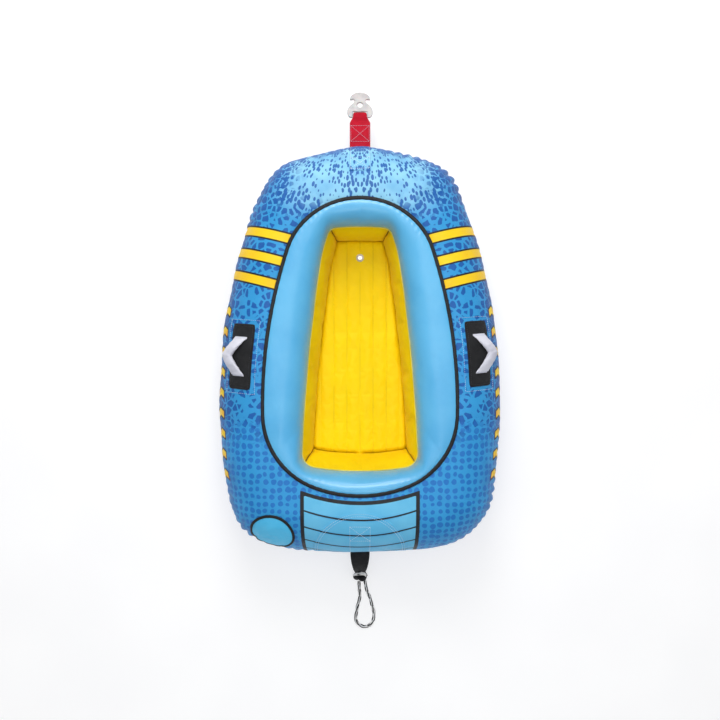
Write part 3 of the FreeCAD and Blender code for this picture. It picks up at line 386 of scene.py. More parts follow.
def ribbon(name, path, across, half_width, half_thick, material, steps=14):
    """A flat strap with rounded edges along a path; across is the direction of its width."""
    path, across = np.array(path, float), unit(np.broadcast_to(across, (len(path), 3)))
    over = unit(np.cross(across, headings(path)))
    turn = (np.arange(2 * steps) + 0.5) * PI / steps
    x = np.sign(np.cos(turn)) * np.abs(np.cos(turn)) ** 0.35
    z = np.sign(np.sin(turn)) * np.abs(np.sin(turn)) ** 0.8
    half_width = np.broadcast_to(half_width, len(path))
    half_thick = np.broadcast_to(half_thick, len(path))
    points = (path[:, None] + across[:, None] * (half_width[:, None] * x)[..., None]
              + over[:, None] * (half_thick[:, None] * z)[..., None])
    return grid(name, points, material, wrap=True, caps=True)


def join(name, objects):
    """One object out of several, keeping each one's materials."""
    bpy.ops.object.select_all(action="DESELECT")
    for obj in objects:
        obj.select_set(True)
    bpy.context.view_layer.objects.active = objects[0]
    bpy.ops.object.join()
    objects[0].name = name
    return objects[0]


def settle(obj, held, pressure, slack, cap, frames=18):
    """Let a puffed cloth find its own wrinkles: a short simulation, held where held is 1."""
    scene = bpy.context.scene
    start = np.array([v.co for v in obj.data.vertices], float)
    held = np.asarray(held, float).ravel()
    group = obj.vertex_groups.new(name="sewn")
    for weight in np.unique(held):
        group.add(np.flatnonzero(held == weight).tolist(), float(weight), "REPLACE")
    shell = obj.modifiers.get("cloth_thickness")
    shell.show_viewport = False
    cloth_modifier = obj.modifiers.new("settle", "CLOTH")
    obj.modifiers.move(obj.modifiers.find("settle"), 0)
    settings = cloth_modifier.settings
    settings.quality, settings.mass = 6, 0.12
    settings.tension_stiffness = settings.compression_stiffness = 18.0
    settings.shear_stiffness, settings.bending_stiffness = 6.0, 0.02
    settings.use_pressure, settings.uniform_pressure_force = True, pressure
    settings.shrink_min = -slack
    settings.vertex_group_mass, settings.pin_stiffness = "sewn", 1.0
    settings.effector_weights.gravity = 0.0
    cloth_modifier.collision_settings.use_collision = False
    for number in range(1, frames + 1):
        scene.frame_set(number)
    shown = obj.evaluated_get(bpy.context.evaluated_depsgraph_get())
    moved = np.array([v.co for v in shown.data.vertices], float) - start
    obj.modifiers.remove(cloth_modifier)
    obj.vertex_groups.remove(group)
    scene.frame_set(1)
    shell.show_viewport = True
    if not np.isfinite(moved).all():
        return
    reach = np.linalg.norm(moved, axis=1, keepdims=True)
    moved = moved / np.maximum(reach, 1e-9) * cap * np.tanh(reach / cap)
    obj.data.vertices.foreach_set("co", (start + moved).astype(np.float32).ravel())
    obj.data.update()


def stitches(name, runs, material, pitch=0.0062, length=0.0044, width=0.0006):
    """Raised thread stitches along runs of (points, normals)."""
    centres, aheads, ups = [], [], []
    for points, normals in runs:
        points, normals = np.array(points, float), np.array(normals, float)
        travel = np.concatenate([[0], np.cumsum(np.linalg.norm(np.diff(points, axis=0), axis=1))])
        at = np.arange(pitch / 2, travel[-1], pitch)
        centres.append(np.stack([np.interp(at, travel, points[:, k]) for k in range(3)], axis=1))
        ups.append(unit(np.stack([np.interp(at, travel, normals[:, k]) for k in range(3)], axis=1)))
        ahead = headings(points)
        aheads.append(unit(np.stack([np.interp(at, travel, ahead[:, k]) for k in range(3)], axis=1)))
    centres, aheads, ups = (np.concatenate(part) for part in (centres, aheads, ups))
    sides = unit(np.cross(aheads, ups))
    stations = [(-0.5, 0.25, 0.0), (-0.3, 0.9, 0.7), (0.3, 0.9, 0.7), (0.5, 0.25, 0.0)]
    corners = []
    for shift, girth, lift in stations:
        for turn in np.arange(4) * PI / 2 + PI / 4:
            corners.append(centres + aheads * shift * length
                           + sides * math.cos(turn) * width * girth
                           + ups * (math.sin(turn) * width * girth + lift * width))
    points = np.stack(corners, axis=1).reshape(-1, 3)
    sixteen = [[4 * k + j, 4 * k + (j + 1) % 4, 4 * k + 4 + (j + 1) % 4, 4 * k + 4 + j]
               for k in range(3) for j in range(4)] + [[3, 2, 1, 0], [12, 13, 14, 15]]
    faces = (np.arange(len(centres))[:, None, None] * 16 + np.array(sixteen)).reshape(-1, 4)
    mesh = bpy.data.meshes.new(name)
    mesh.from_pydata(points, [], faces.tolist())
    mesh.uv_layers.new(name="cloth")
    return place_object(name, mesh, material)


def piece(obj, body, slot, *nodes):
    """Ride on a body, and stand for CAD nodes, which it hides. The slot is not used."""
    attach(obj, body)
    if nodes:
        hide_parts(*nodes)
    return obj


# ---------------------------------------------------------------- outlines of tangent arcs
class Outline:
    """A closed outline, symmetric about Y, of tangent arcs from the bow round to the stern.

    Two radii are None: they follow from the closed length, as in the CAD part."""

    def __init__(self, front, length, radii, turns):
        turn = np.radians([0.0, *turns, 180.0])
        across, along = np.diff(np.sin(turn)), -np.diff(np.cos(turn))
        free = [i for i, r in enumerate(radii) if r is None]
        known = np.array([0.0 if r is None else r for r in radii])
        need = np.array([-(known * across).sum(), length - (known * along).sum()])
        found = np.linalg.solve([across[free], along[free]], need)
        for i, radius in zip(free, found):
            known[i] = radius
        self.radius, self.turn = known, turn
        x, y, centres = 0.0, front, []
        for radius, first, last in zip(known, turn, turn[1:]):
            cx, cy = x - radius * math.sin(first), y - radius * math.cos(first)
            centres.append((cx, cy))
            x, y = cx + radius * math.sin(last), cy + radius * math.cos(last)
        self.centre = np.array(centres)
        self.travel = np.concatenate([[0.0], np.cumsum(known * np.diff(turn))])
        self.length = 2 * self.travel[-1]

    def find(self, way):
        """Side, turn and arc at a distance along the loop, clockwise from the bow seen from above."""
        way = np.mod(way, self.length)
        side = np.where(way <= self.length / 2, RIGHT, LEFT)
        short = np.minimum(way, self.length - way)
        arc = np.clip(np.searchsorted(self.travel, short, side="right") - 1, 0, len(self.radius) - 1)
        return side, self.turn[arc] + (short - self.travel[arc]) / self.radius[arc], arc

    def way(self, side, turn):
        """The distance along the loop at a turn in radians."""
        arc = np.clip(np.searchsorted(self.turn, turn, side="right") - 1, 0, len(self.radius) - 1)
        short = self.travel[arc] + (turn - self.turn[arc]) * self.radius[arc]
        return np.where(side == RIGHT, short, self.length - short)

    def walk(self, way, inset, distance):
        """The place along the loop reached by going a distance over the loop moved in by inset."""
        way, inset, distance = np.broadcast_arrays(np.asarray(way, float), inset, distance)
        side, turn, _ = self.find(way)
        short = np.minimum(np.mod(way, self.length), self.length - np.mod(way, self.length))
        goal = short - inset * turn + side * distance
        flip = goal < 0
        total = self.length / 2 - inset * PI
        over = goal > total
        goal = np.where(flip, -goal, np.where(over, 2 * total - goal, goal))
        side = np.where(flip | over, -side, side)
        starts = self.travel[None, :] - inset.reshape(-1, 1) * self.turn[None, :]
        arc = (goal.reshape(-1, 1) >= starts[:, 1:-1]).sum(axis=1).reshape(goal.shape)
        begun = np.take_along_axis(starts, arc.reshape(-1, 1), axis=1).reshape(goal.shape)
        radius = self.radius[arc]
        found = self.travel[arc] + (goal - begun) / (radius - inset) * radius
        return np.where(side == RIGHT, found, self.length - found)

    def at(self, way, inset=0.0):
        """Points and outward directions, in the plane, of the loop moved inwards by inset."""
        side, turn, arc = self.find(way)
        out = np.stack([side * np.sin(turn), np.cos(turn)], axis=-1)
        centre = np.stack([side * self.centre[arc, 0], self.centre[arc, 1]], axis=-1)
        return centre + out * (self.radius[arc] - inset)[..., None], out

    def columns(self, count):
        return np.arange(count) * self.length / count


HULL = Outline(0.621, 1.242, [0.582, 0.164, None, 0.180, None], [21.2, 67.6, 100.2, 169.0])
RIM_RADII = [0.726, 0.030, 0.434, None, 0.043, None]
RIM_TURNS = [5.7, 69.4, 81.5, 87.6, 170.7]
RIM_LINE = Outline(0.372, 0.737, RIM_RADII, RIM_TURNS)
FLOOR_LINE = Outline(0.372, 0.721, RIM_RADII, RIM_TURNS)
OVAL = Outline(0.446, 0.875, [0.231, 0.198, None, 0.232, None], [48.0, 71.8, 91.1, 157.9])
HUB = np.array([0.0, -0.020])


def facing_point(line, towards, inset=0.0, count=4000):
    """The points of an outline in the same directions from the hub as the given points."""
    ways = np.arange(count) * line.length / count
    loop, _ = line.at(ways, inset)
    angle = np.arctan2(*(loop - HUB).T)
    order = np.argsort(angle)
    wanted = np.arctan2(towards[..., 0] - HUB[0], towards[..., 1] - HUB[1])
    return np.stack([np.interp(wanted, angle[order], loop[order, k], period=2 * PI) for k in range(2)],
                    axis=-1)


# ---------------------------------------------------------------- the inflated hull's surface
SIDE_START = TOP_ROUND * PI / 2
SIDE_END = SIDE_START + HEIGHT - TOP_ROUND - BOTTOM_ROUND
GROUND = SIDE_END + BOTTOM_ROUND * PI / 2
SEAM_ACROSS = SIDE_START + HEIGHT - TOP_ROUND - SEAM


def section(across):
    """Inset, height and slope of the hull, a distance over its skin outwards from the flat top's edge."""
    across = np.asarray(across, float)
    top = np.clip(across / TOP_ROUND, 0, PI / 2)
    low = np.clip((across - SIDE_END) / BOTTOM_ROUND, 0, PI / 2)
    inset = TOP_ROUND * (1 - np.sin(top)) + BOTTOM_ROUND * (1 - np.cos(low))
    inset = inset + np.clip(-across, 0, None) + np.clip(across - GROUND, 0, None)
    height = HEIGHT - TOP_ROUND * (1 - np.cos(top)) - BOTTOM_ROUND * np.sin(low)
    height = height - np.clip(across - SIDE_START, 0, SIDE_END - SIDE_START)
    return inset, height, top + low


def waves(way, across, cycles, phase, skew):
    """A sum of waves round the hull, each with whole cycles, whose crests lean with skew."""
    total = np.zeros(np.broadcast(way, across).shape)
    for n, p, k in zip(cycles, phase, skew):
        total += np.sin(2 * PI * n * way / HULL.length + p + k * across)
    return total / math.sqrt(len(cycles) / 2)


PUCKER = (rng.integers(46, 78, 9), rng.uniform(0, 2 * PI, 9), rng.normal(0, 9.0, 9))
RIPPLE = (rng.integers(150, 260, 8), rng.uniform(0, 2 * PI, 8), rng.normal(0, 14.0, 8))
SWELL = (rng.integers(7, 24, 8), rng.uniform(0, 2 * PI, 8), rng.normal(0, 10.0, 8))
CORNERS = [(HULL.travel[1] + HULL.travel[2]) / 2, (HULL.travel[3] + HULL.travel[4]) / 2]


def from_bow(way):
    """The shorter way round the hull from the bow."""
    way = np.mod(way, HULL.length)
    return np.minimum(way, HULL.length - way)


def fullness(way):
    """1 at the tight corners of the outline, where the cloth gathers most, and less elsewhere."""
    short = from_bow(way)
    return 0.20 + sum(np.exp(-((short - corner) / 0.17) ** 2) for corner in CORNERS)


def bulge(way, across):
    """How far the cover stands off the plain hull: gathers at the seam, soft swells and the crown."""
    way, across = np.broadcast_arrays(np.asarray(way, float), np.asarray(across, float))
    from_seam = across - SEAM_ACROSS
    gather = np.abs(waves(way, across, *PUCKER))
    short = from_bow(way)
    held = 1.05 - 0.40 * np.clip((short - 0.7) / 0.5, 0, 1)
    gather = (gather - held) * 0.0105 * fullness(way) * np.exp(-np.abs(from_seam) / 0.050)
    fine = waves(way, across, *RIPPLE) * 0.0009 * fullness(way) * np.exp(-np.abs(from_seam) / 0.022)
    strapped = np.exp(-(short / 0.055) ** 2) + np.exp(-((HULL.length / 2 - short) / 0.055) ** 2)
    pinch = -0.0060 * (1 - 0.7 * strapped) * np.exp(-(from_seam / 0.011) ** 2)
    swell = waves(way, across, *SWELL) * 0.0011
    pulled = 0.0045 * np.exp(-(short / 0.050) ** 2) - 0.0065 * np.exp(-((short - 0.135) / 0.070) ** 2)
    aft = HULL.length / 2 - short
    pulled += 0.0035 * np.exp(-((aft - 0.200) / 0.070) ** 2) - 0.0065 * np.exp(-(aft / 0.100) ** 2)
    swell = swell + pulled * np.exp(-(from_seam / 0.085) ** 2)
    crown = 0.0035 * np.exp(-(np.clip(across, 0, None) / 0.048) ** 2)
    grounded = np.clip((GROUND - across) / 0.08, 0, 1)
    return (gather * (1 - strapped) + fine + pinch + swell) * grounded + crown


def hull_surface(way, across, lift=0.0, puffed=True):
    """Points and normals on the cover, lift above it."""
    way, across = np.broadcast_arrays(np.asarray(way, float), np.asarray(across, float))
    inset, height, slope = section(across)
    flat, out = HULL.at(way, 0.0)
    flat = flat - out * inset[..., None]
    normal = np.concatenate([out * np.sin(slope)[..., None], np.cos(slope)[..., None]], axis=-1)
    points = np.concatenate([flat, height[..., None]], axis=-1)
    stand = lift + (bulge(way, across) if puffed else 0.0)
    return points + normal * np.broadcast_to(stand, way.shape)[..., None], normal


def unrolled(way, across):
    """Where a point of the skin would lie if the round were laid flat."""
    return HULL.at(way, TOP_ROUND - across)[0]


# ---------------------------------------------------------------- the print
def smooth_loop(corners, closed=True, steps=10):
    """A smooth line through a few corners."""
    corners = np.array(corners, float)
    if closed:
        ring = np.concatenate([corners[-1:], corners, corners[:2]])
    else:
        ring = np.concatenate([2 * corners[:1] - corners[1:2], corners, 2 * corners[-1:] - corners[-2:-1]])
    share = np.arange(steps)[:, None] / steps
    spans = []
    for a, b, c, d in zip(ring, ring[1:], ring[2:], ring[3:]):
        spans.append(0.5 * (2 * b + (c - a) * share + (2 * a - 5 * b + 4 * c - d) * share ** 2
                            + (3 * b - a - 3 * c + d) * share ** 3))
    if not closed:
        spans.append(corners[-1:])
    return np.concatenate(spans)


def outline_distance(points, loop, closed=True):
    """Distance to a line, and below zero inside it if it is closed."""
    loop = np.concatenate([loop, loop[:1]]) if closed else loop
    best = np.full(points.shape[:-1], 1e9)
    inside = np.zeros(points.shape[:-1], bool)
    for a, b in zip(loop, loop[1:]):
        run = b - a
        share = np.clip((points - a) @ run / max(run @ run, 1e-12), 0, 1)
        best = np.minimum(best, np.linalg.norm(points - a - share[..., None] * run, axis=-1))
        crosses = (a[1] > points[..., 1]) != (b[1] > points[..., 1])
        with np.errstate(divide="ignore", invalid="ignore"):
            meet = (b[0] - a[0]) * (points[..., 1] - a[1]) / (b[1] - a[1]) + a[0]
        inside ^= crosses & (points[..., 0] < meet)
    return np.where(inside, -best, best) if closed else best


# three plain slanted stripes across each shoulder
STRIPE_COUNT = 3
STRIPE_FIRST, STRIPE_PITCH, STRIPE_HALF = 0.125, 0.070, 0.015
STRIPE_SLANT = math.radians(15.0)
# evenly spaced bands across the stern, and how much further forward their ends are
STERN_COUNT = 6
STERN_FIRST, STERN_PITCH = -0.450, 0.050
STERN_LINES = [STERN_FIRST - STERN_PITCH * k for k in range(STERN_COUNT)]
STERN_RISE = 0.030
STERN_HALF = 0.170
# one even row of plain arrowheads along each side
MARK_COUNT = 9
MARK_START, MARK_PITCH, MARK_MIDDLE = 0.700, 0.062, 0.158
MARK_WIDTH, MARK_HEIGHT, MARK_BEND = 0.020, 0.046, 0.40


def shoulder_stripes(x, y):
    """Distance to the stripes across the shoulders, below zero inside them."""
    along = (y - STRIPE_FIRST) * math.cos(STRIPE_SLANT) - x * math.sin(STRIPE_SLANT)
    number = np.clip(np.round(along / STRIPE_PITCH), 0, STRIPE_COUNT - 1)
    return np.abs(along - number * STRIPE_PITCH) - STRIPE_HALF


def print_fields(flat, way, across):
    """The vector attributes that the printed cloth's shader reads, at points of the unrolled skin."""
    x, y = np.abs(flat[..., 0]), flat[..., 1]
    level = y - STERN_RISE * (x / STERN_HALF) ** 2
    stern = np.maximum(x - STERN_HALF, level - STERN_LINES[0])
    seen = np.zeros_like(x)
    art_shoulder = np.stack([shoulder_stripes(x, y), seen, seen], axis=-1)
    art_stern = np.stack([level, stern, side_marks(way, across)], axis=-1)
    nose = np.exp(-(x / 0.24) ** 4) * np.clip((y - 0.36) / 0.10, 0, 1)
    rear = np.clip((-0.17 - y) / 0.14, 0, 1)
    edge = np.clip((across - 0.075) / 0.10, 0, 1)
    fan_x, fan_y = x, y - 0.98
    reach = np.hypot(fan_x, fan_y)
    fan = np.stack([np.arctan2(fan_x, -fan_y) * 0.44, reach * 0.45, seen], axis=-1)
    return {"art_shoulder": art_shoulder, "art_stern": art_stern,
            "zones": np.stack([nose, rear, edge], axis=-1),
            "plan": np.stack([x, y, seen], axis=-1), "fan": fan}


def side_marks(way, across):
    """Distance to the row of plain arrowheads along each side, below zero inside them."""
    short = from_bow(way)
    lean = across - MARK_MIDDLE
    shifted = short - MARK_BEND * np.abs(lean) - MARK_START
    number = np.clip(np.floor(shifted / MARK_PITCH), 0, MARK_COUNT - 1)
    local = shifted - (number + 0.5) * MARK_PITCH
    return np.maximum(np.abs(local) - MARK_WIDTH / 2, np.abs(lean) - MARK_HEIGHT / 2)


def printed_cloth():
    s = Shader("printed_nylon", Sheen_Weight=0.01, Specular_IOR_Level=0.22, Coat_Weight=0.06,
               Coat_Roughness=0.4)
    plan, _ = s.attribute("plan")
    fan, _ = s.attribute("fan")
    _, (stripe, _, _) = s.attribute("art_shoulder")
    _, (level, stern, marks) = s.attribute("art_stern")
    gaps = [s.math("ABSOLUTE", s.math("SUBTRACT", level, line)) for line in STERN_LINES[1:]]
    lines = gaps[0]
    for gap in gaps[1:]:
        lines = s.math("MINIMUM", lines, gap)
    _, (nose, rear, edge) = s.attribute("zones")
    light, aqua, royal, deep = rgb(142, 206, 236), rgb(44, 154, 216), rgb(8, 90, 170), rgb(8, 74, 146)
    warp = s.noise(16.0, 3.0, plan)
    # the nose centre is mixed towards pale aqua: partly the print's pale ground, partly a painted highlight
    # of glare on the nose
    base = s.mix(s.spread(nose, 0.05, 0.75), aqua, light)
    tone = s.spread(s.noise(9.0, 3.0, plan), 0.4, 0.65, 0.0, 0.45)
    base = s.mix(tone, base, rgb(44, 146, 212))
    # royal patches on the sides, split by pale veins that widen towards the cockpit
    bent = s.node("ShaderNodeMixRGB", {0: 0.010, 1: plan, 2: s.node(
        "ShaderNodeTexNoise", {"Vector": plan, "Scale": 34.0, "Detail": 2.0}).outputs["Color"]})
    patches = s.node("ShaderNodeTexVoronoi", {"Vector": bent.outputs[0], "Scale": 46.0, "Randomness": 0.95},
                     feature="DISTANCE_TO_EDGE")
    vein = s.math("ADD", s.spread(edge, 0.0, 0.8, 0.150, 0.035), s.spread(warp, 0.3, 0.7, -0.05, 0.08))
    patch = s.spread(s.math("SUBTRACT", patches.outputs["Distance"], vein), -0.02, 0.02)
    calm = s.math("SUBTRACT", 1.0, s.math("MAXIMUM", nose, rear), clamp=True)
    base = s.mix(s.math("MULTIPLY", patch, s.spread(calm, 0.1, 0.6)), base, royal)
    dark = s.spread(s.noise(20.0, 4.0, plan), 0.45, 0.60)
    base = s.mix(s.math("MULTIPLY", s.math("MULTIPLY", dark, edge), 0.6), base, deep)
    # round spots at the rear, a little out of line
    cells = s.node("ShaderNodeTexVoronoi", {"Vector": bent.outputs[0], "Scale": 47.0, "Randomness": 0.26})
    size = s.spread(warp, 0.3, 0.7, 0.33, 0.43)
    spot = s.spread(s.math("SUBTRACT", size, cells.outputs["Distance"]), -0.02, 0.02)
    base = s.mix(s.math("MULTIPLY", spot, s.spread(rear, 0.1, 0.6, 0.0, 0.95)), base, rgb(22, 112, 194))
    # drawn-out spots that fan over the nose, crowding into blotches by the seam
    scales = s.node("ShaderNodeTexVoronoi", {"Vector": fan, "Scale": 118.0, "Randomness": 0.72})
    size = s.math("ADD", s.spread(warp, 0.32, 0.66, 0.30, 0.50), s.spread(edge, 0.25, 1.0, 0.0, 0.20))
    dash = s.spread(s.math("SUBTRACT", size, scales.outputs["Distance"]), -0.03, 0.03)
    base = s.mix(s.math("MULTIPLY", dash, s.spread(nose, 0.05, 0.35, 0.0, 0.95)), base, royal)
    blotch = s.spread(s.noise(34.0, 4.0, plan, 0.55, 1.0), 0.50, 0.54)
    blotch = s.math("MULTIPLY", blotch, s.spread(edge, 0.25, 0.75))
    base = s.mix(s.math("MULTIPLY", blotch, s.spread(nose, 0.02, 0.3, 0.0, 0.9)), base, royal)
    # shoulder stripes
    gold = s.mix(s.spread(s.noise(9.0, 3.0, plan), 0.35, 0.7), rgb(255, 214, 2), rgb(252, 200, 4))
    base = s.mix(s.step(stripe, 0.0), base, gold)
    base = s.mix(s.step(s.math("ABSOLUTE", stripe), 0.0026), base, BLACK)
    # stern bands
    ribs = s.mix(s.spread(s.noise(10.0, 3.0, plan), 0.3, 0.7), rgb(92, 186, 230), rgb(108, 196, 236))
    base = s.mix(s.step(stern, 0.0), base, ribs)
    shade = s.math("MULTIPLY", s.step(lines, 0.0060, 0.0035), s.step(stern, -0.03, 0.03))
    base = s.mix(s.math("MULTIPLY", s.math("MULTIPLY", shade, s.step(stern, 0.0)), 0.35), base,
                 rgb(60, 150, 216))
    base = s.mix(s.math("MULTIPLY", s.step(lines, 0.0025), s.step(stern, 0.0)), base, BLACK)
    base = s.mix(s.step(s.math("ABSOLUTE", stern), 0.0056), base, BLACK)
    # side marks
    glow = s.mix(s.spread(s.noise(30.0, 3.0, plan), 0.42, 0.72), rgb(255, 220, 4), rgb(252, 178, 20))
    base = s.mix(s.step(marks, 0.0052), base, BLACK)
    base = s.mix(s.step(marks, 0.0), base, glow)
    fleck = s.spread(s.noise(700.0, 2.0), 0.3, 0.75, 0.0, 0.022)
    base = s.mix(fleck, base, rgb(210, 232, 250))
    folds = s.bump(s.noise(22.0, 3.0, warp=0.6), 0.0035, 0.3)
    normal = s.bump(s.weave(0.0012), 0.0002, 0.5, folds)
    return s.finish(base, s.spread(s.noise(50.0), 0.3, 0.7, 0.40, 0.54), normal)


PRINT = printed_cloth()


# ---------------------------------------------------------------- covers
VALVE_TURN, VALVE_SLOPE = math.radians(164.9), math.radians(41.0)
VALVE_WAY = float(HULL.way(LEFT, VALVE_TURN))
VALVE_ACROSS = VALVE_SLOPE * TOP_ROUND
valve_point, valve_normal = (v[0] for v in hull_surface([VALVE_WAY], [VALVE_ACROSS], puffed=False))
VALVE_HOLE = (valve_point, valve_normal, 0.034)
COLUMNS = 1000
ways = HULL.columns(COLUMNS)


def outer_rows(low, high, count):
    """Rows of the hull's skin from one distance across to another."""
    across = np.linspace(low, high, count)[:, None]
    points, normals = hull_surface(ways[None, :], across)
    return points, normals, np.broadcast_to(across, points.shape[:2])


def flat_rows(count, lift=0.0):
    """Rows over the flat top, from the round's edge in to the oval binding."""
    start, _ = HULL.at(ways, TOP_ROUND)
    end = facing_point(OVAL, start, 0.0)
    share = np.linspace(0, 1, count)[:, None, None]
    flat = start + (end - start) * share
    gap = np.linalg.norm(end - start, axis=1)
    from_oval = gap * (1 - share[..., 0])
    edge = bulge(ways, 0.0) * (1 - share[..., 0]) ** 1.5
    crown = 0.0022 * np.sin(PI * share[..., 0])
    dip = -0.0016 * np.exp(-(from_oval / 0.006) ** 2)
    gather = waves(ways[None, :], from_oval, *RIPPLE) * 0.0005 * np.exp(-from_oval / 0.014)
    points = np.concatenate([flat, (HEIGHT + edge + crown + dip + gather + lift)[..., None]], axis=-1)
    return points, flat


def build_top_cover():
    points, normals, across = outer_rows(SEAM_ACROSS - 0.002, 0.0, 68)
    top, flat = flat_rows(17)
    rows = np.concatenate([points, top[1:]])
    facing = np.concatenate([normals, np.broadcast_to(UP, top[1:].shape)])
    laid = np.concatenate([unrolled(ways[None, :], across), flat[1:]])
    inner = -np.linalg.norm(flat[1:] - flat[:1], axis=-1)
    fields = print_fields(laid, np.broadcast_to(ways, laid.shape[:2]), np.concatenate([across, inner]))
    obj = grid("cover_top", rows, PRINT, wrap=True, outward=facing, fields=fields,
               holes=[VALVE_HOLE], thick=0.0012)
    return piece(obj, "tube", "printed_cloth", "top_cover")


def build_lower_cover():
    points, normals, across = outer_rows(SEAM_ACROSS + 0.002, GROUND + 0.012, 58)
    tucked = np.clip((across - GROUND + 0.001) / 0.004, 0, 1)
    points[..., 2] = np.maximum(points[..., 2], 0.0006 + 0.0030 * tucked)
    obj = grid("cover_lower", points, LOWER, wrap=True, outward=normals, thick=0.0012)
    return piece(obj, "tube", "base_cloth", "lower_cover")


def build_base_panel():
    """The flat cloth under the tube, hemmed to the lower cover and pierced by the drain."""
    edge, _ = HULL.at(ways[::2], BOTTOM_ROUND - 0.002)
    share = np.linspace(1, 0.004, 90)[:, None, None]
    flat = HUB + (edge - HUB) * share
    rim = np.exp(-((1 - share[..., 0]) / 0.02) ** 2)
    wrinkle = 0.0012 * np.abs(np.sin(flat[..., 0] * 31 + 2.2 * np.sin(flat[..., 1] * 17)))
    height = 0.0012 + wrinkle * (1 - rim)
    points = np.concatenate([flat, height[..., None]], axis=-1)
    obj = grid("base_cloth", points, BASE, wrap=True, outward=np.broadcast_to(-UP, points.shape),
               holes=[((*DRAIN, 0.0), UP, 0.0085)], thick=-0.0010)
    piece(obj, "tube", "base_cloth", "base_panel")
    runs = []
    for inset in (0.104, 0.112):
        line, _ = HULL.at(np.append(ways[::2], ways[0]), inset)
        run = np.concatenate([line, np.full((len(line), 1), 0.0004)], axis=1)
        runs.append((run, np.broadcast_to(-UP, run.shape)))
    piece(stitches("base_stitches", runs, THREAD, 0.0062, 0.0044, 0.0005), "tube", "base_cloth")


def build_seam_tape():
    """The narrow tape folded over the seam between the two covers."""
    across = SEAM_ACROSS + np.linspace(-0.0058, 0.0058, 9)[:, None]
    roll = 0.0026 * np.sqrt(np.clip(1 - (np.linspace(-1, 1, 9) ** 2), 0, 1))[:, None] - 0.0006
    points, normals = hull_surface(ways[None, :], across, roll)
    obj = grid("seam_tape", points, TAPE, wrap=True, outward=normals, thick=0.0010)
    return piece(obj, "tube", "black_tape", "perimeter_seam_tape")


def build_bladder():
    """The vinyl ring inside the cover, seen through the valve's opening."""
    around = ways[::4]
    across = np.linspace(-0.01, GROUND, 60)[:, None]
    points, normals = hull_surface(around[None, :], across, -0.0045)
    obj = grid("bladder_ring", points, BLADDER, wrap=True, outward=normals, holes=[VALVE_HOLE], thick=0.0012)
    return piece(obj, "tube", "bladder_vinyl", "main_bladder", "floor_bladder")


build_top_cover()
build_lower_cover()
build_base_panel()
build_seam_tape()
build_bladder()


# ---------------------------------------------------------------- oval binding and collar
def build_binding():
    around = OVAL.columns(760)
    turn = np.linspace(-0.28, PI + 0.28, 15)[:, None]
    offset = BINDING * np.cos(turn)
    height = HEIGHT + 0.0005 + 0.0036 * np.sin(turn)
    flat = OVAL.at(around, 0.0)[0][None] + OVAL.at(around, 0.0)[1][None] * offset[..., None]
    level = np.broadcast_to(height, flat.shape[:2])
    points = np.concatenate([flat, level[..., None]], axis=-1)
    obj = grid("oval_binding", points, TAPE, wrap=True, outward=np.broadcast_to(UP, points.shape),
               thick=0.0009)
    piece(obj, "tube", "black_tape", "collar_piping")
    runs = []
    for offset in (-0.0040, 0.0040):
        line = OVAL.at(np.append(around, around[0]), offset)[0]
        points = np.concatenate([line, np.full((len(line), 1), HEIGHT + 0.0031)], axis=1)
        runs.append((points, np.broadcast_to(UP, points.shape)))
    piece(stitches("oval_stitches", runs, DARK_THREAD, 0.0045, 0.0030, 0.0004), "tube", "black_tape")


def build_collar():
    """The plain collar: a crowned top that rolls down into the cockpit."""
    around = RIM_LINE.columns(820)
    rim, out = RIM_LINE.at(around)
    oval = facing_point(OVAL, rim)
    gap = np.linalg.norm(oval - rim, axis=1)
    ahead = (oval - rim) / gap[:, None]
    reach = np.minimum(COLLAR_ROUND / np.einsum("ij,ij->i", ahead, out), gap - 0.007)
    share = np.linspace(0, 1, 18)[:-1, None]
    from_oval = share * (gap - reach)
    roll = np.linspace(0, PI / 2, 36)[:, None]
    flat = np.concatenate([gap - from_oval, reach * (1 - np.sin(roll))])
    height = np.concatenate([np.full_like(from_oval, HEIGHT),
                             HEIGHT - COLLAR_ROUND * (1 - np.cos(roll)) * np.ones_like(reach)])
    slope = np.concatenate([np.zeros_like(from_oval), roll * np.ones_like(reach)])
    over = (gap - flat) / gap
    puff = 0.0052 * np.sin(PI * over ** 0.75) ** 0.8 - 0.0012 * np.exp(-((gap - flat) / 0.008) ** 2)
    gather = np.sin(around * 2 * PI / RIM_LINE.length * 90 + 2 * np.sin(around * 23)) * 0.0005
    puff = puff + gather * np.exp(-(gap - flat) / 0.016) + 0.0008 * np.sin(around * 31 + 9 * over) * over
    plan = rim + ahead * flat[..., None] - ahead * (puff * np.sin(slope))[..., None]
    points = np.concatenate([plan, (height + puff * np.cos(slope))[..., None]], axis=-1)
    facing = np.concatenate([-ahead * np.sin(slope)[..., None], np.cos(slope)[..., None]], axis=-1)
    obj = grid("collar", points, COLLAR, wrap=True, outward=facing, thick=0.0012)
    piece(obj, "tube", "collar_cloth", "cockpit_collar")


build_binding()
build_collar()


# ---------------------------------------------------------------- cockpit walls, rim seam and floor
FRONT_CORNER = math.radians((5.7 + 69.4) / 2)
REAR_CORNER = math.radians((87.6 + 170.7) / 2)
WALL_FOOT = 0.080


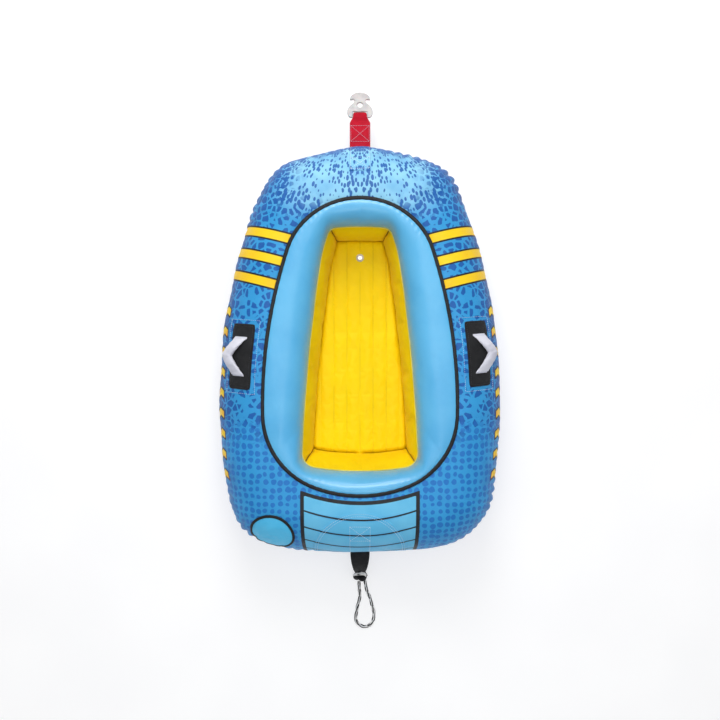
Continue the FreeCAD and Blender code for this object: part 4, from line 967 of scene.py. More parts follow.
def wall_panel(name, first, last, node):
    """A wall between two distances round the rim, puffed between its sewn edges."""
    around = np.linspace(first, last, max(24, int(abs(last - first) / 0.006)))
    share = np.linspace(0, 1, 26)[:, None]
    side, turn, _ = RIM_LINE.find(around)
    rim, out = RIM_LINE.at(around, 0.0)
    foot = FLOOR_LINE.at(FLOOR_LINE.way(side, turn), WALL_LEAN)[0]
    flat = rim + (foot - rim) * share[..., None]
    height = RIM - 0.003 + (WALL_FOOT - RIM + 0.003) * share
    to_corner = np.minimum(np.abs(around - first), np.abs(last - around))
    body = np.tanh(to_corner / 0.022)
    puff = (0.0085 * np.sin(PI * share) ** 0.7 + 0.0006 * np.sin(around * 41 + 4 * share)) * body
    lie = 0.0035 * np.exp(-(to_corner / 0.006) ** 2) * np.ones_like(share)
    flat = flat - out * (puff - lie)[..., None]
    points = np.concatenate([flat, np.broadcast_to(height, flat.shape[:2])[..., None]], axis=-1)
    inward = np.concatenate([-out, np.full((len(out), 1), 0.2)], axis=1)
    obj = grid(name, points, WALL, outward=np.broadcast_to(inward, points.shape), thick=0.0012)
    sewn = np.zeros(points.shape[:2])
    sewn[:1], sewn[-2:], sewn[:, :1], sewn[:, -1:] = 1, 1, 1, 1
    settle(obj, sewn, 2.0, 0.020, 0.004)
    return piece(obj, "tube", "wall_cloth", node)


def build_walls():
    half = RIM_LINE.length
    front = float(RIM_LINE.way(RIGHT, FRONT_CORNER))
    rear = float(RIM_LINE.way(RIGHT, REAR_CORNER))
    wall_panel("wall_front", half - front, half + front, "front_wall_panel")
    wall_panel("wall_right", front, rear, "right_wall_panel")
    wall_panel("wall_rear", rear, half - rear, "rear_wall_panel")
    wall_panel("wall_left", half - rear, half - front, "left_wall_panel")
    seams = []
    for side in (LEFT, RIGHT):
        for corner in (FRONT_CORNER, REAR_CORNER):
            rim, out = RIM_LINE.at(RIM_LINE.way(side, corner), 0.0)
            foot, _ = FLOOR_LINE.at(FLOOR_LINE.way(side, corner), WALL_LEAN)
            share = np.linspace(0, 1, 30)[:, None]
            line = rim + (foot - rim) * share + out * 0.0026
            level = RIM - 0.004 + (WALL_FOOT - RIM + 0.004) * share
            seams.append(tube(f"corner_{side}_{corner:.1f}", np.concatenate([line, level], axis=1),
                              0.0016, AMBER_THREAD, 8))
    piece(join("wall_corner_seams", seams), "tube", "wall_cloth")


def build_rim_seam():
    around = RIM_LINE.columns(560)
    line, _ = RIM_LINE.at(around, 0.0004)
    path = np.concatenate([line, np.full((len(line), 1), RIM - 0.0022)], axis=1)
    piece(tube("rim_piping", path, 0.0021, RIM_TAPE, 10, closed=True), "tube", "black_tape", "rim_seam")


def floor_height(x, to_edge):
    """Height of the floor skin: crowned lengthwise channels, rolled down at the edge."""
    share = np.mod(x / CHANNEL_PITCH, 1.0)
    crest = np.abs(np.sin(PI * share)) ** 0.8
    roll = np.clip(to_edge / 0.016, 0, 1)
    return FLOOR - 0.0012 + CHANNEL_RISE * crest * roll ** 0.5 - 0.011 * (1 - roll) ** 2


def build_floor():
    """The floor skin over the mattress's channels, pierced by the drain."""
    half = FLOOR_LINE.at(np.linspace(0, FLOOR_LINE.length / 2, 1600), WALL_LEAN - 0.004)[0]
    levels = half[:, 1]
    share = 0.5 - 0.5 * np.cos(np.linspace(0.01, PI - 0.01, 230))
    level = levels.max() - (levels.max() - levels.min()) * share
    order = np.argsort(levels)
    wide = np.interp(level, levels[order], half[order, 0])
    x = np.linspace(-1, 1, 150)[None, :] * wide[:, None]
    y = np.broadcast_to(level[:, None], x.shape)
    spots = np.stack([np.abs(x), y], axis=-1)
    to_edge = outline_distance(spots, half[::25], closed=False)
    ripple = 0.0007 * np.sin(y * 29 + 3 * np.sin(x * 24))
    height = floor_height(x, to_edge) + ripple * np.clip(to_edge / 0.03, 0, 1)
    near_drain = np.hypot(x - DRAIN[0], y - DRAIN[1])
    flat_top = 0.0868
    sunk = np.clip((near_drain - 0.013) / 0.017, 0, 1) ** 2
    height = np.where(near_drain < 0.030, flat_top + (height - flat_top) * sunk, height)
    points = np.stack([x, y, height], axis=-1)
    obj = grid("floor_skin", points, FLOOR_CLOTH, outward=np.broadcast_to(UP, points.shape),
               holes=[((*DRAIN, 0.08), UP, 0.0085)], thick=0.0014)
    spots = np.array([v.co for v in obj.data.vertices], float)
    off_valley = np.abs(np.mod(spots[:, 0] / CHANNEL_PITCH + 0.5, 1.0) - 0.5) * CHANNEL_PITCH
    halved = np.stack([np.abs(spots[:, 0]), spots[:, 1]], axis=1)
    at_edge = outline_distance(halved, half[::25], closed=False) < 0.006
    at_drain = np.hypot(spots[:, 0] - DRAIN[0], spots[:, 1] - DRAIN[1]) < 0.024
    settle(obj, (off_valley < 0.0016) | at_edge | at_drain, 3.0, 0.010, 0.003)
    piece(obj, "tube", "floor_vinyl", "floor_panel")
    runs = []
    for k in range(-2, 3):
        valley = k * CHANNEL_PITCH
        inside = wide > abs(valley) + 0.012
        run_y = level[inside]
        run = np.stack([np.full_like(run_y, valley), run_y, np.full_like(run_y, FLOOR - 0.0009)], axis=1)
        runs.append((run[::-1], np.broadcast_to(UP, run.shape)))
    piece(stitches("floor_stitches", runs, AMBER_THREAD, 0.0060, 0.0042, 0.0005), "tube", "floor_vinyl")


build_walls()
build_rim_seam()
build_floor()


# ---------------------------------------------------------------- sewn patches and their stitching
def skin_from_unrolled(x, y):
    """Way and distance across of a point near the nose or stern, given on the unrolled skin."""
    arc = 0 if y[0] > 0 else len(HULL.radius) - 1
    radius, centre = HULL.radius[arc], HULL.centre[arc]
    offset = np.abs(y - centre[1])
    reach = np.hypot(x, offset)
    angle = np.arctan2(x, offset)
    way = angle * radius if arc == 0 else HULL.length / 2 - angle * radius
    return np.mod(way, HULL.length), TOP_ROUND - (radius - reach)


def patch(name, rows, node):
    """A second layer of the print over a zone given by rows of unrolled points."""
    rows = np.array(rows, float)
    shape = rows.shape[:2]
    way, across = skin_from_unrolled(rows[..., 0].ravel(), rows[..., 1].ravel())
    points, normals = hull_surface(way, across, 0.0011)
    fields = print_fields(rows, way.reshape(shape), across.reshape(shape))
    obj = grid(name, points.reshape(*shape, 3), PRINT, outward=normals.reshape(*shape, 3), fields=fields,
               thick=0.0016)
    return piece(obj, "tube", "printed_cloth", node)


def stitched_runs(lines, lift=0.0012, steps=60):
    """Stitch runs on the skin along straight or curved lines of unrolled points."""
    runs = []
    for line in lines:
        line = np.array(line, float)
        if len(line) == 2:
            line = line[0] + (line[1] - line[0]) * np.linspace(0, 1, steps)[:, None]
        way, across = skin_from_unrolled(line[:, 0], line[:, 1])
        runs.append(hull_surface(way, across, lift))
    return runs


def crossed_box(left, right, low, high):
    """The sides and diagonals of a sewn box."""
    a, b, c, d = (left, low), (right, low), (right, high), (left, high)
    return [(a, b), (b, c), (c, d), (d, a), (a, c), (b, d)]


def build_patches():
    seam_y = 0.621 - TOP_ROUND + SEAM_ACROSS
    front = np.linspace(seam_y - 0.006, 0.527, 40)
    across = np.linspace(-0.032, 0.032, 20)
    patch("nose_patch", [[(x, y) for x in across] for y in front], "harness_upper")
    lines = crossed_box(-0.029, 0.029, 0.534, 0.577)
    lines += [((side * 0.029, 0.577), (side * 0.029, seam_y - 0.010)) for side in (LEFT, RIGHT)]
    piece(stitches("nose_stitches", stitched_runs(lines), THREAD), "tube", "printed_cloth")
    quarter = np.linspace(0, PI / 2, 44)[:-1]
    spread = np.linspace(-1, 1, 60)
    low = np.linspace(0.006, SEAM_ACROSS - SIDE_START, 6)[:-1]
    rows = [[(0.145 * s, low_y - seam_y) for s in spread] for low_y in low]
    rows += [[(0.145 * math.cos(q) * s, stern_level(0.145 * math.sin(q))) for s in spread] for q in quarter]
    patch("stern_patch", rows, "tail_patch")
    turn = np.linspace(0.02, PI - 0.02, 160)
    lines = [np.stack([r * np.cos(turn), [stern_level(r * s) for s in np.sin(turn)]], axis=1)
             for r in (0.139, 0.132)]
    lines += crossed_box(-0.030, 0.030, -0.570, -0.520)
    lines += [((side * 0.030, -0.570), (side * 0.030, 0.010 - seam_y)) for side in (LEFT, RIGHT)]
    lines += [((-0.030, -0.700), (0.030, -0.700))]
    piece(stitches("stern_stitches", stitched_runs(lines), THREAD), "tube", "printed_cloth")


def stern_level(ahead):
    """How far back, on the unrolled skin, a point lies that is so far ahead of the stern seen from above."""
    return -(0.621 - TOP_ROUND) - TOP_ROUND * math.asin(min(1, max(0, 1 - ahead / TOP_ROUND))) + max(
        0, ahead - TOP_ROUND)


def build_lower_harness():
    """The webbing of the towing point under the nose."""
    across = np.linspace(SEAM_ACROSS + 0.006, SIDE_END + 0.125, 34)
    x = np.linspace(-0.032, 0.032, 16)
    inset = section(across)[0]
    turn = np.arcsin(x[None, :] / (HULL.radius[0] - inset[:, None]))
    way = np.mod(turn * HULL.radius[0], HULL.length)
    points, normals = hull_surface(way, np.broadcast_to(across[:, None], way.shape), 0.0016)
    points[..., 2] = np.maximum(points[..., 2], 0.0010)
    obj = grid("nose_webbing_low", points, BLACK_WEB, outward=normals, thick=0.0015)
    piece(obj, "tube", "black_webbing", "harness_lower")


build_patches()
build_lower_harness()


# ---------------------------------------------------------------- handles: pads, grips, stitching
HANDLE_TURN, HANDLE_STAGGER = 85.13, 0.155
HANDLE_SLOPE = math.radians(23.7)
HANDLE_ACROSS = HANDLE_SLOPE * TOP_ROUND
PAD_INNER, PAD_OUTER, PAD_HALF = 0.030, 0.048, 0.097


def beside_handle(side, x, y, lift):
    """Points and normals at x down the slope and y towards the stern from a handle's middle."""
    turn = math.radians(HANDLE_TURN - side * HANDLE_STAGGER)
    inset = section(HANDLE_ACROSS + x)[0]
    way = HULL.way(side, turn) + side * y * HULL.radius[2] / (HULL.radius[2] - inset)
    return hull_surface(way, HANDLE_ACROSS + x, lift)


def rounded_sheet(half_x, half_y, radius, steps_x, steps_y):
    """A grid over a rectangle with softly rounded corners, denser at its edges."""
    u = np.sin(np.linspace(-PI / 2, PI / 2, steps_x))
    v = np.sin(np.linspace(-PI / 2, PI / 2, steps_y))
    u, v = np.meshgrid(u, v, indexing="ij")
    cut = radius * (np.abs(u) ** 8) * (np.abs(v) ** 8)
    return u * (half_x - cut), v * (half_y - cut), u, v


def build_pad(side, label):
    middle, half_x = (PAD_OUTER - PAD_INNER) / 2, (PAD_OUTER + PAD_INNER) / 2
    x, y, u, v = rounded_sheet(half_x, PAD_HALF, 0.003, 44, 96)
    edge = np.clip((1 - np.abs(u)) * half_x / 0.004, 0, 1)
    edge = edge * np.clip((1 - np.abs(v)) * PAD_HALF / 0.004, 0, 1)
    groove_x = np.exp(-((half_x - np.abs(x) - 0.0065) / 0.0016) ** 2)
    groove_y = np.exp(-((PAD_HALF - np.abs(y) - 0.0065) / 0.0016) ** 2)
    soft = 0.0008 * np.sin(y * 90 + 2 * np.sin(x * 70))
    height = 0.0006 + 0.0042 * np.sqrt(np.clip(edge, 0, 1))
    height = height - 0.0013 * np.maximum(groove_x, groove_y) + soft * edge
    points, normals = beside_handle(side, middle + x, y, height)
    obj = grid(f"{label}_pad", points, PAD, outward=normals, thick=0.0028)
    piece(obj, "tube", "pad_neoprene", f"{label}_handle_pad")
    for name, grow, lift, thread in (
            ("inner", -0.0065, 0.0038, DARK_THREAD), ("outer", 0.0115, 0.0006, THREAD)):
        corners = [(sx * (half_x + grow), sy * (PAD_HALF + grow))
                   for sx, sy in ((-1, -1), (1, -1), (1, 1), (-1, 1), (-1, -1))]
        runs = []
        for (x0, y0), (x1, y1) in zip(corners, corners[1:]):
            share = np.linspace(0, 1, 70)
            runs.append(beside_handle(side, middle + x0 + (x1 - x0) * share, y0 + (y1 - y0) * share, lift))
        piece(stitches(f"{label}_pad_{name}_stitches", runs, thread), "tube", "pad_neoprene")


def handle_frame(side):
    """The handle's own frame on the plain hull: X down the slope, Z out, Y towards the stern or nose."""
    turn = math.radians(HANDLE_TURN - side * HANDLE_STAGGER)
    point, normal = hull_surface([float(HULL.way(side, turn))], [HANDLE_ACROSS], puffed=False)
    point, normal = point[0], normal[0]
    out = np.array([side * math.sin(turn), math.cos(turn), 0.0])
    down = out * math.cos(HANDLE_SLOPE) - UP * math.sin(HANDLE_SLOPE)
    return point, down, np.cross(normal, down), normal


GRIP_HALF = 0.054
GRIP_LIFT = 0.0155


def grip_edges(y):
    """Inner and outer edges of the flattened grip, down the slope, at a place along it."""
    share = np.abs(y) / GRIP_HALF
    sharp = np.sqrt(share ** 2 + 0.05 ** 2) - 0.05
    round_ = np.sqrt(share ** 2 + 0.34 ** 2) - 0.34
    inner = 0.031 - 0.042 * sharp
    outer = 0.0655 - 0.032 * round_ / 0.716
    return inner, outer


def build_grip(side, label):
    """The nylon grip: a flat crescent, thick and lifted in its middle, sewn down at its ends."""
    origin, down, along, normal = handle_frame(side)
    y = np.linspace(-GRIP_HALF, GRIP_HALF, 90)
    inner, outer = grip_edges(y)
    middle, half = (inner + outer) / 2, (outer - inner) / 2
    share = np.abs(y) / GRIP_HALF
    thick = 0.0085 - 0.0052 * np.clip((share - 0.45) / 0.5, 0, 1) ** 1.2
    lift = GRIP_LIFT - 0.0085 * np.clip((share - 0.35) / 0.6, 0, 1) ** 1.4
    turn = np.arange(40) * 2 * PI / 40
    cx = np.sign(np.cos(turn)) * np.abs(np.cos(turn)) ** 0.75
    cz = np.sin(turn)
    x = middle[:, None] + half[:, None] * cx
    crease = 1 + 0.05 * np.sin(5 * turn[None, :] + 26 * share[:, None] + side)
    hug = 0.35 + 0.65 * np.clip(share[:, None] * 1.3, 0, 1)
    sag = -np.clip(x, -0.02, 0.06) ** 2 / (2 * TOP_ROUND) * hug
    z = lift[:, None] + sag + thick[:, None] * cz * crease
    wobble = 0.0006 * np.sin(3 * turn[None, :] + 40 * y[:, None] * 10)
    points = (origin + down * x[..., None] + along * (y[:, None] + wobble)[..., None] + normal * z[..., None])
    obj = grid(f"{label}_grip", points, GRIP, wrap=True, caps=True)
    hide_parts(f"{label}_handle_grip")
    obj.data.materials.append(THREAD)
    return obj


def build_tabs(side, label):
    """The sewn ends of the handle, with two rows of stitches across each."""
    parts = []
    runs = []
    for end in (-1, 1):
        y = end * np.linspace(GRIP_HALF - 0.010, GRIP_HALF + 0.004, 16)
        inner, outer = grip_edges(np.sign(y) * np.minimum(np.abs(y), GRIP_HALF))
        sweep = np.sin(np.linspace(-PI / 2, PI / 2, 24))
        x = (inner + outer)[:, None] / 2 + (outer - inner)[:, None] / 2 * sweep
        spot_y = np.broadcast_to(y[:, None], x.shape)
        side_y = -side * spot_y
        rise = 0.0046 + 0.0014 * np.cos(np.linspace(-PI / 2, PI / 2, 24))
        points, normals = beside_handle(side, x, side_y, np.broadcast_to(rise, x.shape))
        parts.append(grid(f"{label}_tab_{end + 1}", points, GRIP, outward=normals, thick=0.0014))
        for at in (GRIP_HALF - 0.005, GRIP_HALF + 0.0015):
            line_x = np.linspace(float(inner[-1]) + 0.003, float(outer[-1]) - 0.003, 20)
            runs.append(beside_handle(side, line_x, np.full(20, -side * end * at), 0.0062))
    for part in parts:
        bpy.context.view_layer.objects.active = part
        bpy.ops.object.modifier_apply(modifier="cloth_thickness")
    piece(join(f"{label}_tabs", parts), "tube", "grip_nylon", f"{label}_handle_tabs")
    piece(stitches(f"{label}_tab_stitches", runs, THREAD, 0.0045, 0.0032, 0.0005), "tube", "grip_nylon")


for side, label in ((LEFT, "left"), (RIGHT, "right")):
    build_pad(side, label)
    grip = build_grip(side, label)
    origin, down, _, _ = handle_frame(side)
    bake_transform(grip)
    build_tabs(side, label)


# ---------------------------------------------------------------- towing strap and hook
TOW_SLOPE = math.radians(8.0)
TOW_REACH = 0.110
STRAP_HALF, TIP_HALF = 0.032, 0.0178
tow_origin = np.array([0.0, 0.6255, SEAM])
tow_ahead = np.array([0.0, math.cos(TOW_SLOPE), -math.sin(TOW_SLOPE)])
tow_up = np.array([0.0, math.sin(TOW_SLOPE), math.cos(TOW_SLOPE)])


def build_tow_strap():
    """One length of webbing from the seam, round the hook's bar and back."""
    loop, ply = 0.0056, 0.00125
    straight = np.linspace(-0.010, TOW_REACH - 0.010, 60)
    top = np.stack([straight, 0.0014 + 0.0042 * np.clip((straight - 0.084) / 0.016, 0, 1) ** 2], axis=1)
    turn = np.linspace(PI * 0.60, -PI * 0.60, 26)
    bend = np.stack([TOW_REACH + loop * np.cos(turn), loop * np.sin(turn)], axis=1)
    line = np.concatenate([top, bend, top[::-1] * (1, -1)])
    path = tow_origin + tow_ahead * line[:, :1] + tow_up * line[:, 1:]
    width = np.interp(line[:, 0] - TOW_REACH, (-0.027, -0.010, 0.0, 0.006),
                      (STRAP_HALF, 0.0222, 0.0208, TIP_HALF))
    obj = ribbon("tow_webbing", path, (1, 0, 0), width, ply, RED_WEB)
    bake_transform(obj)
    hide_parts("tow_strap")
    low, high, half = 0.022, 0.073, 0.0285
    corners = [(-half, low), (half, low), (half, high), (-half, high)]
    lines = [(corners[i], corners[(i + 1) % 4]) for i in range(4)]
    lines += [(corners[0], corners[2]), (corners[1], corners[3])]
    runs = []
    for face in (1, -1):
        for a, b in lines:
            spot = np.array(a) + (np.array(b) - np.array(a)) * np.linspace(0, 1, 30)[:, None]
            lift = face * np.full((30, 1), 0.0014 + ply + 0.0002)
            points = tow_origin + np.array([1.0, 0, 0]) * spot[:, :1] + tow_ahead * spot[:, 1:]
            points = points + tow_up * lift
            runs.append((points, np.broadcast_to(tow_up * face, points.shape)))
    piece(stitches("tow_stitches", runs, THREAD, 0.0052, 0.0038, 0.0006), "towing_strap", "red_webbing")


def build_hook():
    """The moulded hook: a plate with an eye and a T head, and the bar that the strap goes round."""
    half_plan = [(0.0226, -0.008), (0.0285, -0.0100), (0.0355, -0.0060), (0.0395, 0.005), (0.0375, 0.017),
                 (0.0300, 0.028), (0.0205, 0.036), (0.0170, 0.043), (0.0195, 0.0485), (0.0270, 0.0480),
                 (0.0310, 0.0485), (0.0300, 0.0545), (0.0240, 0.0630), (0.0130, 0.0690), (0.0030, 0.0705)]
    side = smooth_loop(half_plan, closed=False, steps=6)
    window = np.array([(-0.0226, 0.0088), (0.0226, 0.0088)])
    outer = np.concatenate([side, side[::-1] * (-1, 1), window])
    turn = np.arange(48) * 2 * PI / 48
    eye = np.stack([0.0089 * np.cos(turn), 0.030 + 0.0089 * np.sin(turn)], axis=1)
    curve = bpy.data.curves.new("hook_plan", "CURVE")
    curve.dimensions = "2D"
    curve.fill_mode = "BOTH"
    curve.extrude, curve.bevel_depth, curve.bevel_resolution = 0.0034, 0.0010, 3
    curve.offset = -0.0010
    for loop in (outer, eye):
        spline = curve.splines.new("POLY")
        spline.points.add(len(loop) - 1)
        for point, (x, y) in zip(spline.points, loop):
            point.co = (x, y, 0.0, 1.0)
        spline.use_cyclic_u = True
    maker = bpy.data.objects.new("hook_plan", curve)
    bpy.context.scene.collection.objects.link(maker)
    bpy.context.view_layer.update()
    plate_mesh = bpy.data.meshes.new_from_object(maker.evaluated_get(bpy.context.evaluated_depsgraph_get()))
    bpy.data.objects.remove(maker)
    centre = tow_origin + tow_ahead * TOW_REACH
    plate_mesh.transform(Matrix((
        (1, 0, 0, centre[0]), (0, tow_ahead[1], tow_up[1], centre[1]),
        (0, tow_ahead[2], tow_up[2], centre[2]), (0, 0, 0, 1))))
    plate_mesh.materials.clear()
    plate = place_object("hook_plate", plate_mesh, HOOK, smooth=False)
    for old in list(plate_mesh.uv_layers):
        plate_mesh.uv_layers.remove(old)
    plate_mesh.uv_layers.new(name="cloth")
    ends = np.linspace(-0.0245, 0.0245, 20)
    bar = tube("hook_bar", centre + np.stack([ends, ends * 0, ends * 0], axis=1), 0.0040, HOOK, 24)
    hook = join("tow_hook_moulding", [plate, bar])
    piece(hook, "towing_hook", "hook_plastic", "tow_hook")


build_tow_strap()
build_hook()


# ---------------------------------------------------------------- tail strap, knot and rope loop
TAIL_BEND, TAIL_DROP = 0.078, 0.038
TAIL_TURN = math.radians(70.0)
tail_origin = np.array([0.0, -0.6255, SEAM - 0.004])
KNOT = np.array([0.0, -0.718, 0.0178])
KNOT_HALF = np.array([0.021, 0.026, 0.0175])


def build_tail_strap():
    turn = np.linspace(0, TAIL_TURN, 50)
    bend = np.stack([TAIL_BEND * np.sin(turn), -TAIL_BEND + TAIL_BEND * np.cos(turn)], axis=1)
    slope = np.array([math.cos(TAIL_TURN), -math.sin(TAIL_TURN)])
    drop = np.linspace(0.001, TAIL_DROP - 0.006, 24)[:, None] * slope
    start = np.array([[-0.010, 0.0002], [-0.005, 0.0001]])
    line = np.concatenate([start, bend, bend[-1] + drop])
    path = tail_origin + np.stack([line[:, 0] * 0, -line[:, 0], line[:, 1]], axis=1)
    share = np.clip(line[:, 0] / 0.084, 0, 1)
    width = 0.0300 - 0.0165 * share ** 1.9
    obj = ribbon("tail_webbing", path, (1, 0, 0), width, 0.0015, BLACK_WEB)
    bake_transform(obj)
    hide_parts("tail_strap")
    runs = []
    for edge in (-1, 1):
        over = np.stack([edge * (width - 0.0035), np.zeros(len(path)), np.zeros(len(path))], axis=1)
        normal = unit(np.cross((1.0, 0, 0), headings(path)))
        normal = normal * np.sign(normal[:, 2:3] + 1e-9)
        runs.append((path + over + normal * 0.0017, normal))
    piece(stitches("tail_stitches", runs, DARK_THREAD, 0.0050, 0.0034, 0.0005), "tail", "black_webbing")


def build_rope():
    """The rope loop: a braid of black and pale strands round the line of its route."""
    route = [
        (-0.007, -0.722, 0.015), (0.000, -0.772, 0.0053), (-0.002, -0.806, 0.0053),
        (-0.013, -0.841, 0.0053), (-0.014, -0.877, 0.0053), (0.015, -0.8935, 0.0053),
        (0.044, -0.877, 0.0053), (0.045, -0.838, 0.0053), (0.033, -0.800, 0.0053),
        (0.019, -0.765, 0.0053), (0.011, -0.722, 0.015)]
    curve = bpy.data.curves.new("rope_line", "CURVE")
    curve.dimensions = "3D"
    curve.resolution_u = 24
    spline = curve.splines.new("NURBS")
    spline.points.add(len(route) - 1)
    for point, place in zip(spline.points, route):
        point.co = (*place, 1.0)
    spline.order_u = 3
    spline.use_endpoint_u = True
    maker = bpy.data.objects.new("rope_line", curve)
    bpy.context.scene.collection.objects.link(maker)
    bpy.context.view_layer.update()
    line = bpy.data.meshes.new_from_object(maker.evaluated_get(bpy.context.evaluated_depsgraph_get()))
    coarse = np.array([v.co for v in line.vertices], float)
    bpy.data.objects.remove(maker)
    inside = np.linalg.norm((coarse - KNOT) / KNOT_HALF, axis=1) < 0.94
    coarse = coarse[~inside]
    travel = np.concatenate([[0], np.cumsum(np.linalg.norm(np.diff(coarse, axis=0), axis=1))])
    at = np.linspace(0, travel[-1], 330)
    path = np.stack([np.interp(at, travel, coarse[:, k]) for k in range(3)], axis=1)
    side, over = carried_frame(path)
    strands = []
    carriers, lay = 3, 0.150
    for way, material in ((1, STRAND_BLACK), (-1, STRAND_WHITE)):
        for k in range(carriers):
            turn = way * 2 * PI * at / lay + 2 * PI * k / carriers
            weave = 0.0005 * np.sin(4 * PI * at / lay * carriers + (0 if way > 0 else PI))
            reach = 0.0032 + weave
            spot = path + side * (np.cos(turn) * reach)[:, None] + over * (np.sin(turn) * reach)[:, None]
            strands.append(tube(f"strand_{way + 1}_{k}", spot, 0.0018 if way < 0 else 0.0021, material, 8))
    strands.append(tube("rope_core", path, 0.0034, STRAND_WHITE, 12))
    rope = join("rope_braid", strands)
    piece(rope, "tail", "rope_fibre", "rope_loop")
    return rope, path, float(travel[-1])


def knot_line(count, size):
    """A trefoil: the line of an overhand knot, scaled to half sizes."""
    turn = np.linspace(0, 2 * PI, count, endpoint=False)
    line = np.stack([np.sin(turn) + 2 * np.sin(2 * turn), np.cos(turn) - 2 * np.cos(2 * turn),
                     -np.sin(3 * turn)], axis=1)
    return line / (3.0, -3.0, 1.0) * size


def build_knot():
    core = knot_line(160, KNOT_HALF - (0.0048, 0.0068, 0.0068))
    body = tube("knot_body", KNOT + core, 0.0075, BLACK_WEB, 16, closed=True)
    wraps = []
    # each wrap's line: across the strap, and up its outer face from the strap's end
    arcs = [[(-0.0190, -0.012), (-0.0140, 0.010), (-0.0020, 0.029), (0.0080, 0.023), (0.0165, 0.006),
             (0.0200, -0.014)],
            [(-0.0060, 0.029), (0.0020, 0.043), (0.0100, 0.040), (0.0165, 0.024), (0.0190, 0.004)]]
    up_strap = np.array([0.0, math.cos(TAIL_TURN), math.sin(TAIL_TURN)])
    off_strap = np.array([0.0, -math.sin(TAIL_TURN), math.cos(TAIL_TURN)])
    strap_end = tail_origin + (0.0, -TAIL_BEND * math.sin(TAIL_TURN), TAIL_BEND * (math.cos(TAIL_TURN) - 1))
    strap_end = strap_end - up_strap * (TAIL_DROP - 0.006)
    for k, arc in enumerate(arcs):
        line = smooth_loop(arc, closed=False, steps=12)
        line = strap_end + np.array([1.0, 0, 0]) * line[:, :1] + up_strap * line[:, 1:]
        line = line + off_strap * 0.0062 - KNOT
        side, over = carried_frame(line)
        at = np.linspace(0, 5.0, len(line))
        for j, material in enumerate((STRAND_WHITE, STRAND_BLACK, STRAND_WHITE)):
            turn = at + j * 2 * PI / 3
            spot = line + side * (np.cos(turn) * 0.0021)[:, None] + over * (np.sin(turn) * 0.0021)[:, None]
            wraps.append(tube(f"wrap_{k}_{j}", KNOT + spot, 0.0023, material, 10))
    knot = join("strap_knot", [body, *wraps])
    points = np.array([v.co for v in knot.data.vertices], float)
    points[:, 2] = np.maximum(points[:, 2], 0.0006)
    knot.data.vertices.foreach_set("co", points.astype(np.float32).ravel())
    return piece(knot, "tail", "rope_fibre", "rope_knot")


build_tail_strap()
rope, rope_path, rope_length = build_rope()
knot = build_knot()


# ---------------------------------------------------------------- inflation valve and its flap
FLAP_RADIUS = 0.068
FLAP_HEM = 0.0070


def valve_frame():
    out = np.array([LEFT * math.sin(VALVE_TURN), math.cos(VALVE_TURN), 0.0])
    down = out * math.cos(VALVE_SLOPE) - UP * math.sin(VALVE_SLOPE)
    return down, np.cross(valve_normal, down)


def on_cover_beside_valve(x, y, lift):
    """Points of the cover under a disc that lies square to the valve's axis."""
    x, y = np.broadcast_arrays(x, y)
    down, beside = valve_frame()
    across, along = VALVE_ACROSS + x, y.copy()
    for _ in range(24):
        way = HULL.walk(np.full(x.shape, VALVE_WAY), section(across)[0], -along * beside_sense(beside))
        offset = hull_surface(way, across, puffed=False)[0] - valve_point
        across = across + 0.8 * (x - offset @ down)
        along = along + 0.8 * (y - offset @ beside)
    return hull_surface(way, across, lift)


def beside_sense(beside):
    """1 if the frame's Y runs towards the stern on the left side, so that walks take the right sign."""
    towards_bow = hull_surface([VALVE_WAY + 0.01], [VALVE_ACROSS], puffed=False)[0][0] - valve_point
    return 1.0 if towards_bow @ beside < 0 else -1.0


def build_flap():
    turn = np.arange(120) * 2 * PI / 120
    reach = np.linspace(0.0006, FLAP_RADIUS - FLAP_HEM, 34)[:, None]
    x, y = reach * np.cos(turn), reach * np.sin(turn)
    share = reach / (FLAP_RADIUS - FLAP_HEM)
    lift = 0.0030 + 0.0026 * (1 - share ** 2) + 0.0004 * np.sin(3 * turn + 9 * share)
    points, normals = on_cover_beside_valve(x, y, np.broadcast_to(lift, x.shape))
    panel = grid("valve_flap_panel", points, FLAP, wrap=True, outward=normals, thick=0.0014)
    around = np.linspace(-0.35, PI + 0.35, 13)[:, None]
    reach = FLAP_RADIUS - FLAP_HEM / 2 + FLAP_HEM / 2 * np.cos(around) * 1.15
    x, y = reach * np.cos(turn), reach * np.sin(turn)
    lift = 0.0022 + 0.0024 * np.sin(around)
    points, normals = on_cover_beside_valve(x, y, np.broadcast_to(lift, x.shape))
    hem = grid("valve_flap_hem", points, TAPE, wrap=True, outward=normals, thick=0.0008)
    for obj, slot, node in ((panel, "flap_cloth", "valve_flap"), (hem, "black_tape", "flap_binding")):
        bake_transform(obj)
        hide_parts(node)
    ring = np.linspace(0.045, 0.058, 8)[:, None]
    x, y = ring * np.cos(turn), ring * np.sin(turn)
    points, normals = on_cover_beside_valve(x, y, 0.0007)
    loops = grid("fastener_ring", points, LOOP_TAPE, wrap=True, outward=normals, thick=0.0006)
    piece(loops, "tube", "black_tape", "flap_fastener_ring")


build_flap()


# ---------------------------------------------------------------- zipper in the left side
ZIP_HEIGHT = 0.052
ZIP_FIRST, ZIP_LAST = math.radians(74.0), math.radians(94.0)
ZIP_ACROSS = SIDE_END + BOTTOM_ROUND * math.asin(1 - ZIP_HEIGHT / BOTTOM_ROUND)


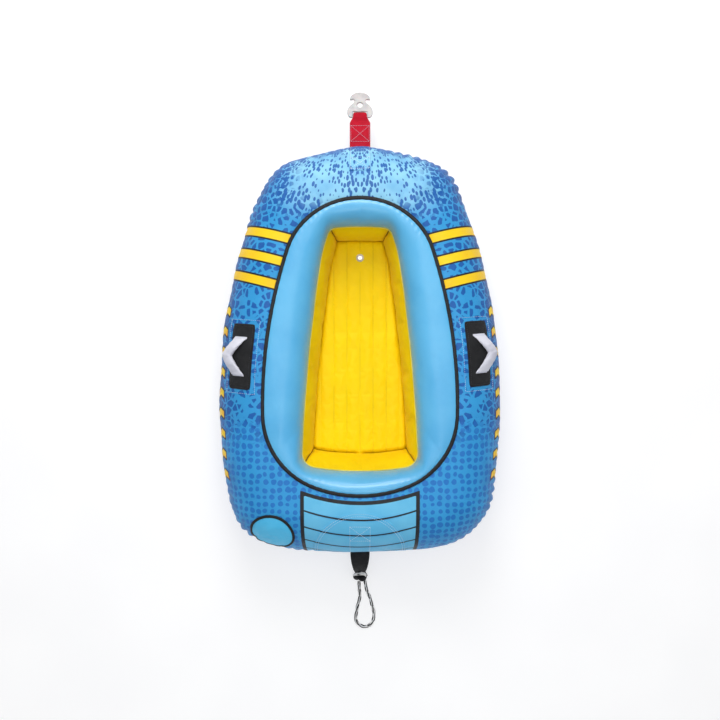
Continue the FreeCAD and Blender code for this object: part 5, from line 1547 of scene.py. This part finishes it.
def build_zipper():
    first, last = float(HULL.way(LEFT, ZIP_LAST)), float(HULL.way(LEFT, ZIP_FIRST))
    around = np.linspace(first - 0.017, last + 0.017, 200)
    across = ZIP_ACROSS + np.linspace(-0.0155, 0.0155, 15)[:, None]
    fold = 0.0011 + 0.0008 * np.exp(-((across - ZIP_ACROSS) / 0.004) ** 2)
    points, normals = hull_surface(around[None, :], across, fold)
    tape = grid("zip_tape", points, TAPE, outward=normals, thick=0.0010)
    piece(tape, "tube", "black_webbing", "zipper_tape")
    runs = []
    for offset in (-0.0125, 0.0125):
        runs.append(hull_surface(around[3:-3], np.full(194, ZIP_ACROSS + offset), 0.0014))
    piece(stitches("zip_stitches", runs, THREAD, 0.0056, 0.0040, 0.0005), "tube", "black_webbing")
    places = np.arange(first + 0.001, last, 0.0030)
    teeth = []
    low, high = ZIP_ACROSS - 0.0024, ZIP_ACROSS + 0.0024
    for k, place in enumerate(places):
        ends = (low, ZIP_ACROSS + 0.0009) if k % 2 else (ZIP_ACROSS - 0.0009, high)
        teeth.append(hull_surface([place, place], list(ends), 0.0022))
    stitched = stitches("zip_teeth", [(np.array(p), np.array(n)) for p, n in teeth], ZIP_PLASTIC,
                        0.0033, 0.0034, 0.0010)
    piece(stitched, "tube", "zipper_plastic", "zipper_teeth")


build_zipper()

# ---------------------------------------------------------------- CAD pieces that stay: better materials
KEPT = {
    # the drain tube takes the glowing plastic: painted light through its hole
    "drain_eyelet": METAL, "drain_eyelet_lower": METAL, "drain_tube": WHITE_PLASTIC_PAINTED_GLOW,
    "valve_base": BOOT, "valve_body": VALVE, "valve_cap": VALVE,
    "zipper_slider": METAL, "zipper_pull": METAL,
}
for node, material in KEPT.items():
    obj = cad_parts[node]
    for slot in obj.material_slots:
        slot.link = "OBJECT"
        slot.material = material


# ---------------------------------------------------------------- floor and light
def build_stage():
    s = Shader("studio_floor", Emission_Color=(1.0, 1.0, 1.0, 1.0), Emission_Strength=0.60)
    base = s.mix(s.spread(s.noise(3.0, 2.0), 0.3, 0.7), rgb(178, 178, 179), rgb(173, 173, 175))
    s.finish(base, 0.7, s.bump(s.noise(400.0, 2.0), 0.0003, 0.1))
    seen_under = s.node("ShaderNodeNewGeometry").outputs["Backfacing"]
    clear = s.node("ShaderNodeBsdfTransparent").outputs[0]
    either = s.node("ShaderNodeMixShader", {0: seen_under, 1: s.bsdf.outputs[0], 2: clear})
    output = next(n for n in s.tree.nodes if n.type == "OUTPUT_MATERIAL")
    s.feed(output.inputs["Surface"], either.outputs[0])
    ends = np.linspace(-6, 6, 9)
    x, y = np.meshgrid(ends, ends, indexing="ij")
    points = np.stack([x, y, np.full_like(x, -0.0004)], axis=-1)
    ground = grid("studio_floor", points, s.material, outward=np.broadcast_to(UP, points.shape))
    world = bpy.data.worlds.new("studio")
    bpy.context.scene.world = world
    world.use_nodes = True
    background = next(n for n in world.node_tree.nodes if n.type == "BACKGROUND")
    background.inputs["Color"].default_value = (0.95, 0.97, 1.0, 1.0)
    background.inputs["Strength"].default_value = 0.40
    for name, place, width, depth, power, colour in (
            ("key", (-0.2, 2.4, 2.3), 1.5, 1.5, 62.0, (1.0, 0.99, 0.97)),
            ("top", (0.2, 0.3, 3.4), 2.2, 2.2, 24.0, (1.0, 1.0, 1.0)),
            ("gloss", (0.0, 1.60, 3.0), 1.4, 0.60, 55.0, (1.0, 1.0, 1.0)),
            ("back", (0.0, -1.30, 2.9), 1.1, 0.35, 12.0, (1.0, 1.0, 1.0))):
        data = bpy.data.lights.new(name, "AREA")
        data.shape, data.size, data.size_y = "RECTANGLE", width, depth
        data.energy, data.color = power, colour
        lamp = bpy.data.objects.new(name, data)
        lamp.visible_diffuse = name != "gloss"
        lamp.location = place
        lamp.rotation_mode = "QUATERNION"
        lamp.rotation_quaternion = (Vector((0, 0, 0.1)) - Vector(place)).to_track_quat("-Z", "Y")
        bpy.context.scene.collection.objects.link(lamp)


build_stage()
